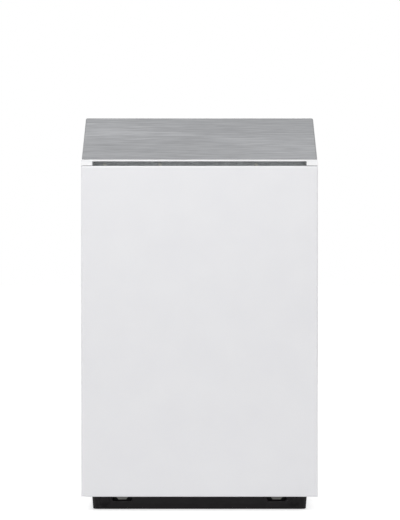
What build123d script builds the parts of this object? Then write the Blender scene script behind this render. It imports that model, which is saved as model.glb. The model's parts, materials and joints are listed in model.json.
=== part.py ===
from build123d import *
import math
import os

# A floor-standing condensing combi boiler: white sheet casing with a lift-off front
# cover, a slanted brushed control flap, a black base on four levelling feet, and the
# gas, flue and water parts inside. Millimetres. +X is right as seen from the front,
# -Y is the front and +Z is up. The origin is on the floor under the middle of the box.

# ---------------------------------------------------------------- casing
CASE_WIDTH = 600.0          # a kitchen-unit width
CASE_DEPTH = 650.0          # front face to back panel
STUB_REACH = 40.0           # how far the pipe ends stand out of the back panel
SHEET = 1.0                 # casing steel
FLANGE = 12.0               # folded edges of the side panels
PANEL_GAP = 1.0             # seam between neighbouring casing pieces
TOP_STEP = 2.0              # top panel under the top of the flap
BEND_RADIUS = 4.0           # outer radius of the front cover's folds
PAST = 1.0                  # how far a cut or a joined piece reaches past the surface it meets

# ---------------------------------------------------------------- front cover
COVER_BOTTOM_Z = 40.0
COVER_TOP_Z = 878.5
COVER_DEPTH = 40.0          # side folds, front to back
COVER_FOLD = 25.0           # top and bottom folds
GRIP_LIP = 8.0              # turned-down edge that the fingers pull
MAT_THICK = 10.0            # foam mat behind the cover
MAT_MARGIN = 18.0           # mat edge to cover side
MAT_RISE = 20.0             # mat edge above the bottom fold
MAT_DROP = 60.0             # mat edge below the top fold
MAT_EDGE = 3.0              # bevel of the mat's rear edges

# ---------------------------------------------------------------- grip slot and white rail
SLOT_HEIGHT = 11.5
END_BLOCK = 28.5            # width of the block at each end of the slot
STRIP_HEIGHT = 4.4
STRIP_ROUND = 1.2
SEAM = 1.2                  # shadow line between the strip and its end blocks
BLOCK_GAP = 0.6             # end block to cover

# ---------------------------------------------------------------- control flap
FLAP_SIDE_GAP = 1.25        # end of the flap inside the casing side
FLAP_SHEET = 1.2
FLAP_TOP_Z = 1013.0
FLAP_SETBACK = 140.0        # hinge line behind the front face
FLAP_LIP_BACK = 1.5         # lower edge behind the front face
FLAP_ROLL = 12.0            # rolled top edge, concentric with the hinge
FLAP_BEND = 4.0
ROLL_END_DEG = 25.0         # where the roll stops, above the rear horizontal
FLAP_GAP = 0.6
FLAP_OPEN_GAP = 1.0         # rolled edge to the fixed panels round it
HINGE_PIN_R = 3.0
HINGE_PIN_LENGTH = 20.0
EAR_THICK = 6.0
EAR_RADIUS = 8.0
FIT = 0.05                  # radial play of a turning or sliding pin

# ---------------------------------------------------------------- base and feet
BASE_SETBACK = 40.0         # base front behind the cover face
BASE_INSET = 23.5           # base side inside the casing side
BASE_TOP_Z = 39.0
BASE_GROUND_GAP = 2.0
BASE_DRAFT = 3.0            # how much each side leans in at the bottom
BASE_WALL = 4.0
BASE_CORNER = 12.0
BASE_RIB = 3.0
BASE_RIB_X = 90.0
BASE_RIB_RISE = 6.0
DISC_INSET = 57.0           # round moulded marks on the base front, from the casing side
DISC_Z = 21.0
DISC_RADIUS = 14.0
DISC_PROUD = 1.5
DISC_DISH_R = 13.0
DISC_DISH_DEPTH = 4.0
FOOT_INSET_X = 75.0         # foot axis from the casing side
FOOT_INSET_Y = 55.0         # foot axis from the base's front and back
FOOT_PAD_R = 20.0
FOOT_PAD_HEIGHT = 8.0
FOOT_PAD_ROUND = 2.0
FOOT_PAD_EDGE = 0.8
FOOT_SPINDLE_R = 6.0        # M12
FOOT_SPINDLE_POINT = 1.0
FOOT_SPINDLE_TOP_Z = 50.0
FOOT_SEAT = 5.0             # spindle end sunk into the pad
FOOT_HEX = 16.0             # across the corners
FOOT_HEX_HEIGHT = 3.0
FOOT_HEX_GAP = 0.5
BOSS_RADIUS = 14.0

# ---------------------------------------------------------------- lugs of the cover, in pockets of the base
LUG_INSET = 102.0           # middle of a lug from the casing side
LUG_WIDTH = 31.0
LUG_TIP_WIDTH = 20.0
LUG_THICK = 4.0
LUG_TIP_Z = 26.3
LUG_TAPER_Z = 33.0
LUG_ARM = 3.0
LUG_Y_BACK = 8.0            # back face of the lug behind the base front
LUG_ARM_START = 10.0        # front end of the lug's arm behind the cover face
POCKET_WIDTH = 51.0
POCKET_CORNER = 5.0
POCKET_FLOOR_Z = 23.0
POCKET_DEPTH = 15.0

# ---------------------------------------------------------------- snap catches of the cover
CATCH_INSET = 75.0          # catch axis from the casing side
CATCH_WIDTH = 20.0
CATCH_HEIGHT = 14.0
CATCH_BELOW_TOP = 20.0      # catch axis under the cover's top
CATCH_NOSE_R = 4.0
CATCH_NOSE_REACH = 7.0
CATCH_PLAY = 0.5
CATCH_FACE_GAP = 2.0        # shoulder of the catch to the frame's front rail
CATCH_EDGE = 2.0
CATCH_NOSE_ROUND = 2.0

# ---------------------------------------------------------------- chassis frame
POST = 30.0
POST_SHEET = 2.0
TOP_RAIL = 40.0
MID_RAIL = 30.0
MID_RAIL_LOW_Z = 480.0
MID_RAIL_HIGH_Z = 690.0
PAN_FRONT_GAP = 15.0        # floor pan behind the base front
PAN_HOLE_R = 9.0

# ---------------------------------------------------------------- screws
SCREW_HEAD_R = 4.5
SCREW_HEAD = 2.5
SCREW_ROUND = 1.2
SCREW_SLOT = 1.0
SCREW_SLOT_DEPTH = 0.8
SLOT_SCREW_INSET = 57.0     # first screw of the slot from the left casing side
MIDDLE_SCREWS_X = (-101.0, 145.0)   # the slot's other two screws
SLOT_SCREW_Z_DROP = 6.0
PANEL_SCREW_INSET = 8.0
PANEL_SCREW_LOW_Z = 120.0
PANEL_SCREW_PITCH = 190.0
PANEL_SCREW_ROWS = 5

# ---------------------------------------------------------------- control console
CONSOLE_SIDE_GAP = 12.55    # console end to the inside of the flap
CONSOLE_SEAT = 9.0          # console front behind the frame's front rail
CONSOLE_WALL = 3.0
CONSOLE_UNDER_FLAP = 30.0   # console face below the outer face of the flap
CONSOLE_BACK = 5.0          # console back behind the hinge line
DISPLAY_X = -70.0
DISPLAY_SIZE = (120.0, 48.0)
DISPLAY_THICK = 3.0
DISPLAY_PROUD = 0.8
DISPLAY_EDGE = 0.48
DISPLAY_CUTOUT_MARGIN = 4.0
KNOB_X = 60.0
KNOB_R = 21.0
KNOB_HEIGHT = 17.0
KNOB_LIFT = 0.6
KNOB_SHAFT_R = 3.0
KNOB_BOSS_R = 7.5
KNOB_BOSS_DEPTH = 12.0      # bottom of the shaft's boss under the console face
KNOB_SHAFT_END = 1.0        # shaft out of its boss
KNOB_ROUND = 2.0
KNOB_SKIRT = 2.0            # plain ring under the flutes
KNOB_FLUTES = 24
KNOB_FLUTE_R = 1.1
KNOB_MARK = 1.6
KNOB_MARK_START = 7.0
KNOB_MARK_EDGE = 3.0
KNOB_MARK_DEPTH = 1.0
KNOB_SWEEP = 270.0
GAUGE_X = 150.0
GAUGE_R = 27.0
GAUGE_DEPTH = 22.0
GAUGE_PROUD = 3.0
GAUGE_WALL = 2.5
GAUGE_DIAL = 10.0           # dial face below the rim
GAUGE_LENS = 1.5
GAUGE_ROUND = 1.0
GAUGE_PIN_BORE = 4.0
LENS_INSET = 0.3            # lens under the gauge's rim
NEEDLE_LENGTH = 19.0
NEEDLE_WIDTH = 1.6
NEEDLE_THICK = 0.8
NEEDLE_HUB_R = 3.0
NEEDLE_TAIL = 6.0
NEEDLE_PIN_R = 1.0
NEEDLE_PIN = 3.0
NEEDLE_GAP = 0.5
NEEDLE_SWEEP = 270.0
SWITCH_INSET = 70.0         # switch from the console's left end
SWITCH_SIZE = (13.0, 20.0)
SWITCH_TILT = 8.0
SWITCH_PIN_R = 1.5
SWITCH_PLAY = 0.4
SWITCH_END_PLAY = 1.0
SWITCH_PIVOT = 4.0          # pivot under the console face
SWITCH_RISE = 3.0
SWITCH_ROUND = 0.8
SWITCH_FRAME = 2.0          # wall of the frame that the switch sits in
SWITCH_PIN_SEAT = 1.6       # pivot pin in the frame's wall
BUTTON_X = -175.0
BUTTON_R = 5.0
BUTTON_PROUD = 2.5
BUTTON_ROUND = 1.0
BUTTON_BOSS_WALL = 3.0
BUTTON_COLLAR = 1.5
BUTTON_COLLAR_GAP = 0.1
BOARD_X = -80.0
BOARD_Y = 12.0              # up the slope from the middle of the face
BOARD_SIZE = (160.0, 76.0)
BOARD_THICK = 1.6
BOARD_DROP = 10.0           # board under the inner face of the console
BOARD_MARGIN = 15.0         # first part on the board to its left end
MODULE_MARGIN = 8.0         # display module inside the display's edge
MODULE_GAP = 2.0            # display module to the inner face of the console
STANDOFF_R = 3.0
STANDOFF_INSET = 5.0
RELAYS = 4
RELAY_SIZE = (16.0, 14.0, 8.0)
RELAY_PITCH = 24.0
RELAY_EDGE = 1.0

# ---------------------------------------------------------------- heat cell and burner
CELL_X = -40.0
CELL_SIZE = (240.0, 213.0, 290.0)
CELL_FLOOR_Z = 440.0
CELL_WALL = 26.0
CHAMBER_DEPTH = 170.0       # burner space, from the top of the casting
GAS_WAYS = 8                # flue-gas slots under the burner space
GAS_WAY_WIDTH = 9.0
CELL_RIB = 5.0
CELL_RIBS = 5
PIPE_PORT_RISE = 40.0       # lower port above the casting's floor, upper one below its top
PORT_PAD = 8.0
PORT_FLANGE = 5.0           # a port's pad round its pipe
DOOR_THICK = 12.0
DOOR_INSET = 8.0            # door edge inside the casting's edge
DOOR_CORNER = 10.0
DOOR_NUT_INSET = 8.0        # nut to the door's edge
DOOR_NUT_R = 6.0
DOOR_NUT = 5.0
BURNER_R = 32.0
BURNER_WALL = 1.5
BURNER_LENGTH = 115.0
BURNER_ROWS = 5
BURNER_HOLES = 10
BURNER_HOLE_R = 2.5
BURNER_LIP = 6.0
ELECTRODE_R = 1.5
ELECTRODE_HOLE_R = 3.0
ELECTRODE_LENGTH = 60.0
ELECTRODE_PITCH = 12.0
ELECTRODE_X = 75.0
ELECTRODE_BLOCK = (30.0, 18.0, 14.0)
ELECTRODE_BLOCK_ROUND = 3.0

# ---------------------------------------------------------------- fan, venturi and gas valve
FAN_R = 60.0
FAN_DEPTH = 50.0
FAN_WALL = 3.0
FAN_AXIS_RISE = 73.0        # fan axis above the burner door
FAN_SETBACK = 65.0          # fan front behind the casting's front
FAN_DUCT_WIDTH = 36.0
FAN_INLET_R = 26.0
IMPELLER_R = 50.0
IMPELLER_DEPTH = 32.0
IMPELLER_BLADES = 16
BLADE_START_R = 30.0
BLADE_END_R = 49.0
IMPELLER_HUB_R = 10.0
IMPELLER_EYE_R = 32.0
IMPELLER_PLATE = 2.0
IMPELLER_GAP = 3.0
FAN_SHAFT_R = 4.0
FAN_SHAFT_HOLE_R = 8.0
SHAFT_END_GAP = 1.0         # shaft end to the bottom of its bore
FAN_MOTOR_R = 38.0
FAN_MOTOR_LENGTH = 50.0
MOTOR_CAP = 6.0
MOTOR_ROUND = 4.0
VENTURI_R = 30.0
VENTURI_LENGTH = 70.0
VENTURI_THROAT_R = 16.0
VENTURI_PAD = 12.0
VENTURI_SEAT = 2.0          # side block to the throat
GAS_WAY_R = 6.0
COIL_R = 13.0
COIL_HEIGHT = 22.0
COIL_ROUND = 3.0
COIL_PITCH = 29.0
GAS_VALVE_SIZE = (66.0, 56.0, 74.0)
GAS_VALVE_CORNER = 4.0

# ---------------------------------------------------------------- pipes
PIPE_R = 11.0               # 22 mm copper
PIPE_BEND = 30.0
SMALL_PIPE_R = 7.5          # 15 mm copper
SMALL_PIPE_BEND = 24.0
PIPE_WALL = 1.0
HOLE_PLAY = 3.0             # pipe to back panel
STUB_Z = 170.0
FLOW_X = 20.0
RETURN_X = -75.0
GAS_INSET = 50.0            # gas pipe from the left casing side
GAS_TURN_Y = 200.0
COLD_X = 110.0
HOT_X = 165.0
VESSEL_PIPE_R = 5.0
VESSEL_PIPE_BEND = 16.0
VESSEL_PIPE_RISE = 60.0     # over the pipe ends
FLOW_DROP = 88.0            # flow pipe behind the diverter, where it turns down
CONDENSATE_R = 10.75        # 21.5 mm plastic
CONDENSATE_WALL = 1.5
CONDENSATE_BEND = 26.0
CONDENSATE_RUN = 52.0       # pipe behind the trap, where it turns down
CONDENSATE_OUT_Z = 100.0
CONDENSATE_SOCKET = 3.0     # wall of the trap's outlet round the pipe

# ---------------------------------------------------------------- flue
FLUE_BORE_R = 40.2          # takes an 80 mm flue pipe
FLUE_WALL = 2.0
FLUE_INSET = 140.0          # upright flue from the right casing side
FLUE_SETBACK = 105.0        # and behind the front of the heat cell
FLUE_BEND = 45.0
FLUE_SOCKET = 60.0
AIR_COLLAR_R = 62.5         # a 125 mm air pipe goes over it
AIR_COLLAR_WALL = 2.0
AIR_COLLAR_HEIGHT = 30.0
COLLAR_FLANGE_R = 78.0
COLLAR_FLANGE = 2.0
COLLAR_WEBS = 3
COLLAR_WEB_THICK = 3.0
COLLAR_WEB_HEIGHT = 18.0

# ---------------------------------------------------------------- condensate sump and trap
SUMP_HEIGHT = 92.0
SUMP_WALL = 3.0
TRAP_INSET = 40.0           # trap axis from the casting's left side
TRAP_SETBACK = 60.0         # and behind its front
TRAP_R = 30.0
TRAP_HEIGHT = 110.0
TRAP_NECK_R = 14.0
TRAP_NECK = 16.0
TRAP_ROUND = 5.0
TRAP_NUT = 8.0
TRAP_NUT_R = 20.0
TRAP_NUT_SIDES = 8
TRAP_OUT_RISE = 40.0        # outlet under the bottle's top
TRAP_PORT = 10.0

# ---------------------------------------------------------------- pump
PUMP_R = 48.0
PUMP_FRONT_Y = -150.0
PUMP_DEPTH = 40.0
PUMP_WALL = 5.0
PUMP_ROUND = 6.0
PUMP_PORT_R = 15.0
PUMP_PORT = 18.0
PUMP_MOTOR_R = 42.0
PUMP_MOTOR_LENGTH = 66.0
PUMP_FINS = 20
PUMP_FIN = 2.0
PUMP_WHEEL_R = 38.0
PUMP_WHEEL_DEPTH = 14.0
PUMP_VANES = 7
PUMP_SHAFT_R = 4.0
SHAFT_LENGTH = 50.0
WHEEL_GAP = 4.0
WHEEL_PLATE = 2.5
VANE_LEAN = 25.0
VANE_START_R = 8.0
VANE_END_R = 34.0
PUMP_HUB_R = 9.6
TERMINAL_BOX = (46.0, 34.0, 16.0)
SAFETY_R = 14.0
SAFETY_LENGTH = 46.0
SAFETY_PORT = 8.0           # how far the side port stands off the pump
SAFETY_HEX_R = 17.0
SAFETY_HEX = 10.0
SAFETY_STEM_R = 3.0
SAFETY_STEM = 16.0
SAFETY_OUTLET_R = 7.5
SAFETY_OUTLET = 34.0
SAFETY_OUTLET_WALL = 2.0
SAFETY_CAP_R = 15.0
SAFETY_CAP_LENGTH = 22.0
SAFETY_CAP_GAP = 0.5
SAFETY_CAP_ROUND = 2.0
SAFETY_CAP_END = 4.0        # closed end of the cap
SAFETY_CAP_RIM = 4.0        # plain ring beside the grips
SAFETY_CAP_GRIPS = 8
SAFETY_CAP_GRIP_R = 2.5

# ---------------------------------------------------------------- diverter valve and plate heat exchanger
DIVERTER_SIZE = (46.0, 44.0, 60.0)
DIVERTER_Y = -130.0
DIVERTER_Z = 330.0
DIVERTER_BORE_R = 13.0
DIVERTER_WALL = 6.0
DIVERTER_CORNER = 8.0
ACTUATOR_SIZE = (50.0, 48.0, 52.0)
ACTUATOR_WALL = 3.0
ACTUATOR_CORNER = 6.0
ACTUATOR_ROUND = 3.0
SPINDLE_R = 4.0
SPINDLE_LENGTH = 56.0
SPINDLE_TRAVEL = 6.0
SPINDLE_END_GAP = 2.0
SPINDLE_PLAY = 1.0          # spindle in the actuator
SPINDLE_DISC_R = 10.0
SPINDLE_DISC = 4.0
PLATE_HX_SIZE = (74.0, 62.0, 190.0)
PLATE_PITCH = 5.0
PLATE_GROOVE = 1.6
PLATE_PORT_DROP = 40.0      # hot port under the exchanger's top
PLATE_PORT_R = 10.0
PLATE_NECK_R = 15.0
PLATE_CORNER = 8.0

# ---------------------------------------------------------------- expansion vessel
VESSEL_INSET = 53.0         # vessel's middle from the right casing side
VESSEL_Y = 110.0
VESSEL_R = 150.0
VESSEL_THICK = 76.0
VESSEL_ROUND = 20.0
VESSEL_WALL = 2.0
VESSEL_SEAM = 3.0
VESSEL_SEAM_WIDTH = 4.0
VESSEL_LUG = 20.0

# ---------------------------------------------------------------- cable gland
GLAND_INSET = 65.0          # gland from the right casing side
GLAND_DROP = 81.0           # gland under the top panel
GLAND_R = 10.0
GLAND_BORE_R = 4.0
GLAND_LENGTH = 14.0
GLAND_NUT = 6.0
GLAND_INSIDE = 3.0
GLAND_ROUND = 3.0
GLAND_NUT_R = 14.0

# ---------------------------------------------------------------- places worked out from the sizes above
SIDE_X = CASE_WIDTH / 2
TOP_Z = FLAP_TOP_Z - TOP_STEP
SLOT_WIDTH = CASE_WIDTH - 2 * END_BLOCK
FLAP_WIDTH = CASE_WIDTH - 2 * FLAP_SIDE_GAP
CONSOLE_HALF_WIDTH = FLAP_WIDTH / 2 - FLAP_SHEET - CONSOLE_SIDE_GAP
DISC_X = SIDE_X - DISC_INSET
FOOT_X = SIDE_X - FOOT_INSET_X
LUG_X = SIDE_X - LUG_INSET
CATCH_X = SIDE_X - CATCH_INSET
SLOT_SCREWS_X = (SLOT_SCREW_INSET - SIDE_X, *MIDDLE_SCREWS_X)
SWITCH_X = SWITCH_INSET - CONSOLE_HALF_WIDTH
GAS_X = GAS_INSET - SIDE_X
VESSEL_X = SIDE_X - VESSEL_INSET
GLAND_X = SIDE_X - GLAND_INSET
GLAND_Z = TOP_Z - GLAND_DROP
FRONT_Y = -(CASE_DEPTH + STUB_REACH) / 2
BACK_Y = FRONT_Y + CASE_DEPTH
STUB_Y = BACK_Y + STUB_REACH
COVER_BACK_Y = FRONT_Y + COVER_DEPTH
SIDE_FRONT_Y = COVER_BACK_Y + PANEL_GAP
FRAME_FRONT_Y = SIDE_FRONT_Y + SHEET
FRAME_BACK_Y = BACK_Y - 2 * SHEET
RAIL_TOP_Z = COVER_TOP_Z + SLOT_HEIGHT
STRIP_TOP_Z = RAIL_TOP_Z + STRIP_HEIGHT
PANEL_TOP_Z = TOP_Z - SHEET
FRAME_X = SIDE_X - SHEET
PAN_TOP_Z = BASE_TOP_Z + SHEET
BASE_FRONT_Y = FRONT_Y + BASE_SETBACK
BASE_BACK_Y = BACK_Y - BASE_DRAFT
BASE_HALF_X = SIDE_X - BASE_INSET
BASE_MID_Y = (BASE_FRONT_Y + BASE_BACK_Y) / 2
FOOT_YS = {"front": BASE_FRONT_Y + FOOT_INSET_Y, "rear": BASE_BACK_Y - FOOT_INSET_Y}
FOOT_XS = {"left": -FOOT_X, "right": FOOT_X}

# The flap's outer face is the line from its lower edge that touches the roll round the hinge.
HINGE_Y = FRONT_Y + FLAP_SETBACK
HINGE_Z = FLAP_TOP_Z - FLAP_ROLL
FLAP_LOW_Y = FRONT_Y + FLAP_LIP_BACK
FLAP_LOW_Z = STRIP_TOP_Z + FLAP_GAP
HINGE_REACH = math.hypot(HINGE_Y - FLAP_LOW_Y, HINGE_Z - FLAP_LOW_Z)
SLOPE = math.atan2(HINGE_Z - FLAP_LOW_Z, HINGE_Y - FLAP_LOW_Y) + math.asin(FLAP_ROLL / HINGE_REACH)
SLOPE_DEG = math.degrees(SLOPE)
FLAP_DEPTH = 2 * FLAP_ROLL
CONSOLE_FRONT_Y = FRAME_FRONT_Y + CONSOLE_SEAT
CONSOLE_BACK_Y = HINGE_Y + CONSOLE_BACK
CONSOLE_MID_Y = (CONSOLE_FRONT_Y + CONSOLE_BACK_Y) / 2
CATCH_Z = COVER_TOP_Z - CATCH_BELOW_TOP

CELL_BACK_Y = FRAME_BACK_Y - MID_RAIL
CELL_FRONT_Y = CELL_BACK_Y - CELL_SIZE[1]
CELL_MID_Y = (CELL_FRONT_Y + CELL_BACK_Y) / 2
CELL_TOP_Z = CELL_FLOOR_Z + CELL_SIZE[2]
CELL_LEFT_X = CELL_X - CELL_SIZE[0] / 2
CELL_RIGHT_X = CELL_X + CELL_SIZE[0] / 2
DOOR_TOP_Z = CELL_TOP_Z + DOOR_THICK
FLOW_PORT_Z = CELL_TOP_Z - PIPE_PORT_RISE
RETURN_PORT_Z = CELL_FLOOR_Z + PIPE_PORT_RISE
FAN_X = CELL_X + FAN_DUCT_WIDTH / 2 - FAN_R
FAN_Z = DOOR_TOP_Z + FAN_AXIS_RISE
FAN_FRONT_Y = CELL_FRONT_Y + FAN_SETBACK
FAN_BACK_Y = FAN_FRONT_Y + FAN_DEPTH
BURNER_Y = (FAN_FRONT_Y + FAN_BACK_Y) / 2
VALVE_RIGHT_X = FAN_X - VENTURI_R - VENTURI_PAD
VALVE_Y = FAN_FRONT_Y - VENTURI_LENGTH / 2
FLUE_X = SIDE_X - FLUE_INSET
FLUE_Y = CELL_FRONT_Y + FLUE_SETBACK
SUMP_FLOOR_Z = CELL_FLOOR_Z - SUMP_HEIGHT
FLUE_Z = SUMP_FLOOR_Z + FLUE_BORE_R + FLUE_WALL + SUMP_WALL
TRAP_X = CELL_LEFT_X + TRAP_INSET
TRAP_Y = CELL_FRONT_Y + TRAP_SETBACK
TRAP_TOP_Z = SUMP_FLOOR_Z - TRAP_NECK
PUMP_BACK_Y = PUMP_FRONT_Y + PUMP_DEPTH
PUMP_MID_Y = (PUMP_FRONT_Y + PUMP_BACK_Y) / 2
DIVERTER_FLOOR_Z = DIVERTER_Z - DIVERTER_SIZE[2] / 2
FLOW_TURN_Y = DIVERTER_Y + DIVERTER_SIZE[1] / 2 + FLOW_DROP
VESSEL_Z = (MID_RAIL_LOW_Z + MID_RAIL_HIGH_Z + MID_RAIL) / 2
PLATE_FLOOR_Z = DIVERTER_FLOOR_Z - PLATE_HX_SIZE[2]
PLATE_RIGHT_X = FLOW_X + PLATE_HX_SIZE[0] / 2
PLATE_LEFT_X = FLOW_X - PLATE_HX_SIZE[0] / 2
HOT_PORT_Z = DIVERTER_FLOOR_Z - PLATE_PORT_DROP


def block(x0, x1, y0, y1, z0, z1):
    """A box between two corners."""
    low = (Align.MIN, Align.MIN, Align.MIN)
    return Box(x1 - x0, y1 - y0, z1 - z0, align=low).moved(Location((x0, y0, z0)))


def rod(radius, start, end):
    """A round bar from one point to another."""
    way = Vector(*end) - Vector(*start)
    return extrude(Plane(origin=start, z_dir=way) * Circle(radius), amount=way.length)


def ring(radius, bore, start, end):
    """A round bar with a hole along it."""
    return rod(radius, start, end) - rod(bore, start, end)


def prism(points, x0, x1):
    """An outline of (y, z) points, carried along X."""
    outline = make_face(Polyline(*[(x0, y, z) for y, z in points], close=True))
    return extrude(outline, amount=x1 - x0, dir=(1, 0, 0))


def bent_pipe(radius, wall, points, bend):
    """A hollow pipe along straight runs with equal bends."""
    route = FilletPolyline(*points, radius=bend)
    way = Vector(*points[1]) - Vector(*points[0])
    section = Plane(origin=points[0], z_dir=way) * (Circle(radius) - Circle(radius - wall))
    return sweep(section, path=route)


def mirror_x(shape):
    """The same piece on the other side."""
    return mirror(shape, about=Plane.YZ)


def flap_point(along, depth):
    """(y, z) on the flap: along its slope down from the hinge, depth under its outer face."""
    y = HINGE_Y - (FLAP_ROLL - depth) * math.sin(SLOPE) - along * math.cos(SLOPE)
    z = HINGE_Z + (FLAP_ROLL - depth) * math.cos(SLOPE) - along * math.sin(SLOPE)
    return y, z


def flap_y_at(z, depth):
    """Where a plane at the given depth under the flap's face crosses a height."""
    y, z0 = flap_point(0, depth)
    return y + (z - z0) / math.tan(SLOPE)


def hinge_point(radius, angle_deg):
    """(y, z) on a circle round the hinge, angle from the rear upwards."""
    angle = math.radians(angle_deg)
    return HINGE_Y + radius * math.cos(angle), HINGE_Z + radius * math.sin(angle)


# ================================================================ base and feet
def base_tray():
    """Black plinth, open underneath, leaning in at the bottom, with pockets for the cover's lugs."""
    height = BASE_TOP_Z - BASE_GROUND_GAP
    lean = math.degrees(math.atan2(BASE_DRAFT, height))
    width = 2 * (BASE_HALF_X - BASE_DRAFT)
    depth = BASE_BACK_Y - BASE_FRONT_Y - 2 * BASE_DRAFT
    floor = Plane(origin=(0, BASE_MID_Y, BASE_GROUND_GAP))
    tray = extrude(floor * RectangleRounded(width, depth, BASE_CORNER), amount=height, taper=-lean)
    hollow = RectangleRounded(width - 2 * BASE_WALL, depth - 2 * BASE_WALL, BASE_CORNER - BASE_WALL)
    tray -= extrude(floor * hollow, amount=height - BASE_WALL, taper=-lean)
    inner_y = (depth - BASE_WALL / 2) / 2
    for x in (-BASE_RIB_X, BASE_RIB_X):
        tray += block(x - BASE_RIB / 2, x + BASE_RIB / 2, BASE_MID_Y - inner_y, BASE_MID_Y + inner_y,
                      BASE_GROUND_GAP + BASE_RIB_RISE, BASE_TOP_Z - BASE_WALL / 2)
    for x in (-LUG_X, LUG_X):
        tray += pocket_box(x)
        tray -= pocket_space(x)
    boss_z = FOOT_PAD_HEIGHT + FOOT_HEX_HEIGHT + 2 * FOOT_HEX_GAP
    for x in FOOT_XS.values():
        for y in FOOT_YS.values():
            tray += rod(BOSS_RADIUS, (x, y, boss_z), (x, y, BASE_TOP_Z - BASE_WALL / 2))
            tray -= rod(FOOT_SPINDLE_R + FIT, (x, y, 0), (x, y, BASE_TOP_Z + PAST))
    for x in (-DISC_X, DISC_X):
        tray = tray + front_disc(x) - front_dish(x)
    return tray


def base_face_y(z):
    """The base's leaning front face at a height."""
    return BASE_FRONT_Y + BASE_DRAFT * (BASE_TOP_Z - z) / (BASE_TOP_Z - BASE_GROUND_GAP)


def front_disc(x):
    """Round mark that stands a little proud of the base front."""
    face_y = base_face_y(DISC_Z)
    return rod(DISC_RADIUS, (x, face_y + BASE_WALL / 2, DISC_Z), (x, face_y - DISC_PROUD, DISC_Z))


def front_dish(x):
    """Part of a ball that hollows a front mark into a shallow dish."""
    face_y = base_face_y(DISC_Z) - DISC_PROUD
    ball_r = (DISC_DISH_R ** 2 + DISC_DISH_DEPTH ** 2) / (2 * DISC_DISH_DEPTH)
    return Pos(x, face_y + DISC_DISH_DEPTH - ball_r, DISC_Z) * Sphere(ball_r)


def pocket_outline(x, y, margin):
    """Outline of a lug pocket in a plane across Y, its two lower corners rounded."""
    half = POCKET_WIDTH / 2 + margin
    floor_z = POCKET_FLOOR_Z - margin
    corners = ((x - half, floor_z), (x + half, floor_z), (x + half, BASE_TOP_Z), (x - half, BASE_TOP_Z))
    outline = make_face(Polyline(*[(px, y, pz) for px, pz in corners], close=True))
    return fillet(outline.vertices().group_by(Axis.Z)[0], POCKET_CORNER + margin)


def pocket_box(x):
    """Material round a lug pocket."""
    start_y = BASE_FRONT_Y + BASE_WALL / 2
    length = POCKET_DEPTH + BASE_WALL / 2
    return extrude(pocket_outline(x, start_y, BASE_WALL), amount=length, dir=(0, 1, 0))


def pocket_space(x):
    """The room inside a lug pocket, open at the front and the top."""
    start_y = BASE_FRONT_Y - BASE_DRAFT
    return extrude(pocket_outline(x, start_y, 0), amount=POCKET_DEPTH + BASE_DRAFT, dir=(0, 1, 0))


def foot_pad(x, y):
    """Round foot that the spindle turns in."""
    pad = rod(FOOT_PAD_R, (x, y, 0), (x, y, FOOT_PAD_HEIGHT))
    pad = fillet(pad.edges().group_by(Axis.Z)[-1], FOOT_PAD_ROUND)
    pad = chamfer(pad.edges().group_by(Axis.Z)[0], FOOT_PAD_EDGE)
    seat_z = FOOT_PAD_HEIGHT - FOOT_SEAT
    return pad - rod(FOOT_SPINDLE_R + FIT, (x, y, seat_z), (x, y, FOOT_PAD_HEIGHT + PAST))


def foot_spindle(x, y):
    """Screw spindle with a hexagon for the spanner."""
    seat_z = FOOT_PAD_HEIGHT - FOOT_SEAT
    spindle = rod(FOOT_SPINDLE_R, (x, y, seat_z), (x, y, FOOT_SPINDLE_TOP_Z))
    spindle = chamfer(spindle.edges().group_by(Axis.Z)[-1], FOOT_SPINDLE_POINT)
    hex_z = FOOT_PAD_HEIGHT + FOOT_HEX_GAP
    hexagon = Plane(origin=(x, y, hex_z)) * RegularPolygon(FOOT_HEX / 2, 6)
    return spindle + extrude(hexagon, amount=FOOT_HEX_HEIGHT)


# ================================================================ frame and fixed casing
def angle_post(x_side, y_side):
    """One corner post, an L of two legs."""
    low_z = PAN_TOP_Z + SHEET
    corner_y = FRAME_FRONT_Y if y_side < 0 else FRAME_BACK_Y
    across = sorted((corner_y, corner_y - y_side * POST_SHEET))
    along = sorted((corner_y, corner_y - y_side * POST))
    wide = sorted((x_side * (FRAME_X - POST), x_side * FRAME_X))
    thin = sorted((x_side * (FRAME_X - POST_SHEET), x_side * FRAME_X))
    return block(*wide, *across, low_z, RAIL_TOP_Z) + block(*thin, *along, low_z, RAIL_TOP_Z)


def cross_rail(y_side):
    """Top rail across the front or the back, with a flat top flange."""
    corner_y = FRAME_FRONT_Y if y_side < 0 else FRAME_BACK_Y
    web = sorted((corner_y, corner_y - y_side * POST_SHEET))
    flat = sorted((corner_y, corner_y - y_side * POST))
    reach = FRAME_X - POST
    rail = block(-reach, reach, *web, RAIL_TOP_Z - TOP_RAIL, RAIL_TOP_Z)
    rail += block(-reach, reach, *flat, RAIL_TOP_Z - POST_SHEET, RAIL_TOP_Z)
    if y_side < 0:
        for x in (-CATCH_X, CATCH_X):
            rail -= rod(CATCH_NOSE_R + CATCH_PLAY, (x, corner_y - PAST, CATCH_Z),
                        (x, corner_y + POST_SHEET + PAST, CATCH_Z))
    return rail


def side_rail(x_side):
    """Top rail along one side."""
    web = sorted((x_side * FRAME_X, x_side * (FRAME_X - POST_SHEET)))
    flat = sorted((x_side * FRAME_X, x_side * (FRAME_X - POST)))
    start_y = FRAME_FRONT_Y + POST
    end_y = FRAME_BACK_Y - POST
    rail = block(*web, start_y, end_y, RAIL_TOP_Z - TOP_RAIL, RAIL_TOP_Z)
    return rail + block(*flat, start_y, end_y, RAIL_TOP_Z - POST_SHEET, RAIL_TOP_Z)


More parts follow.
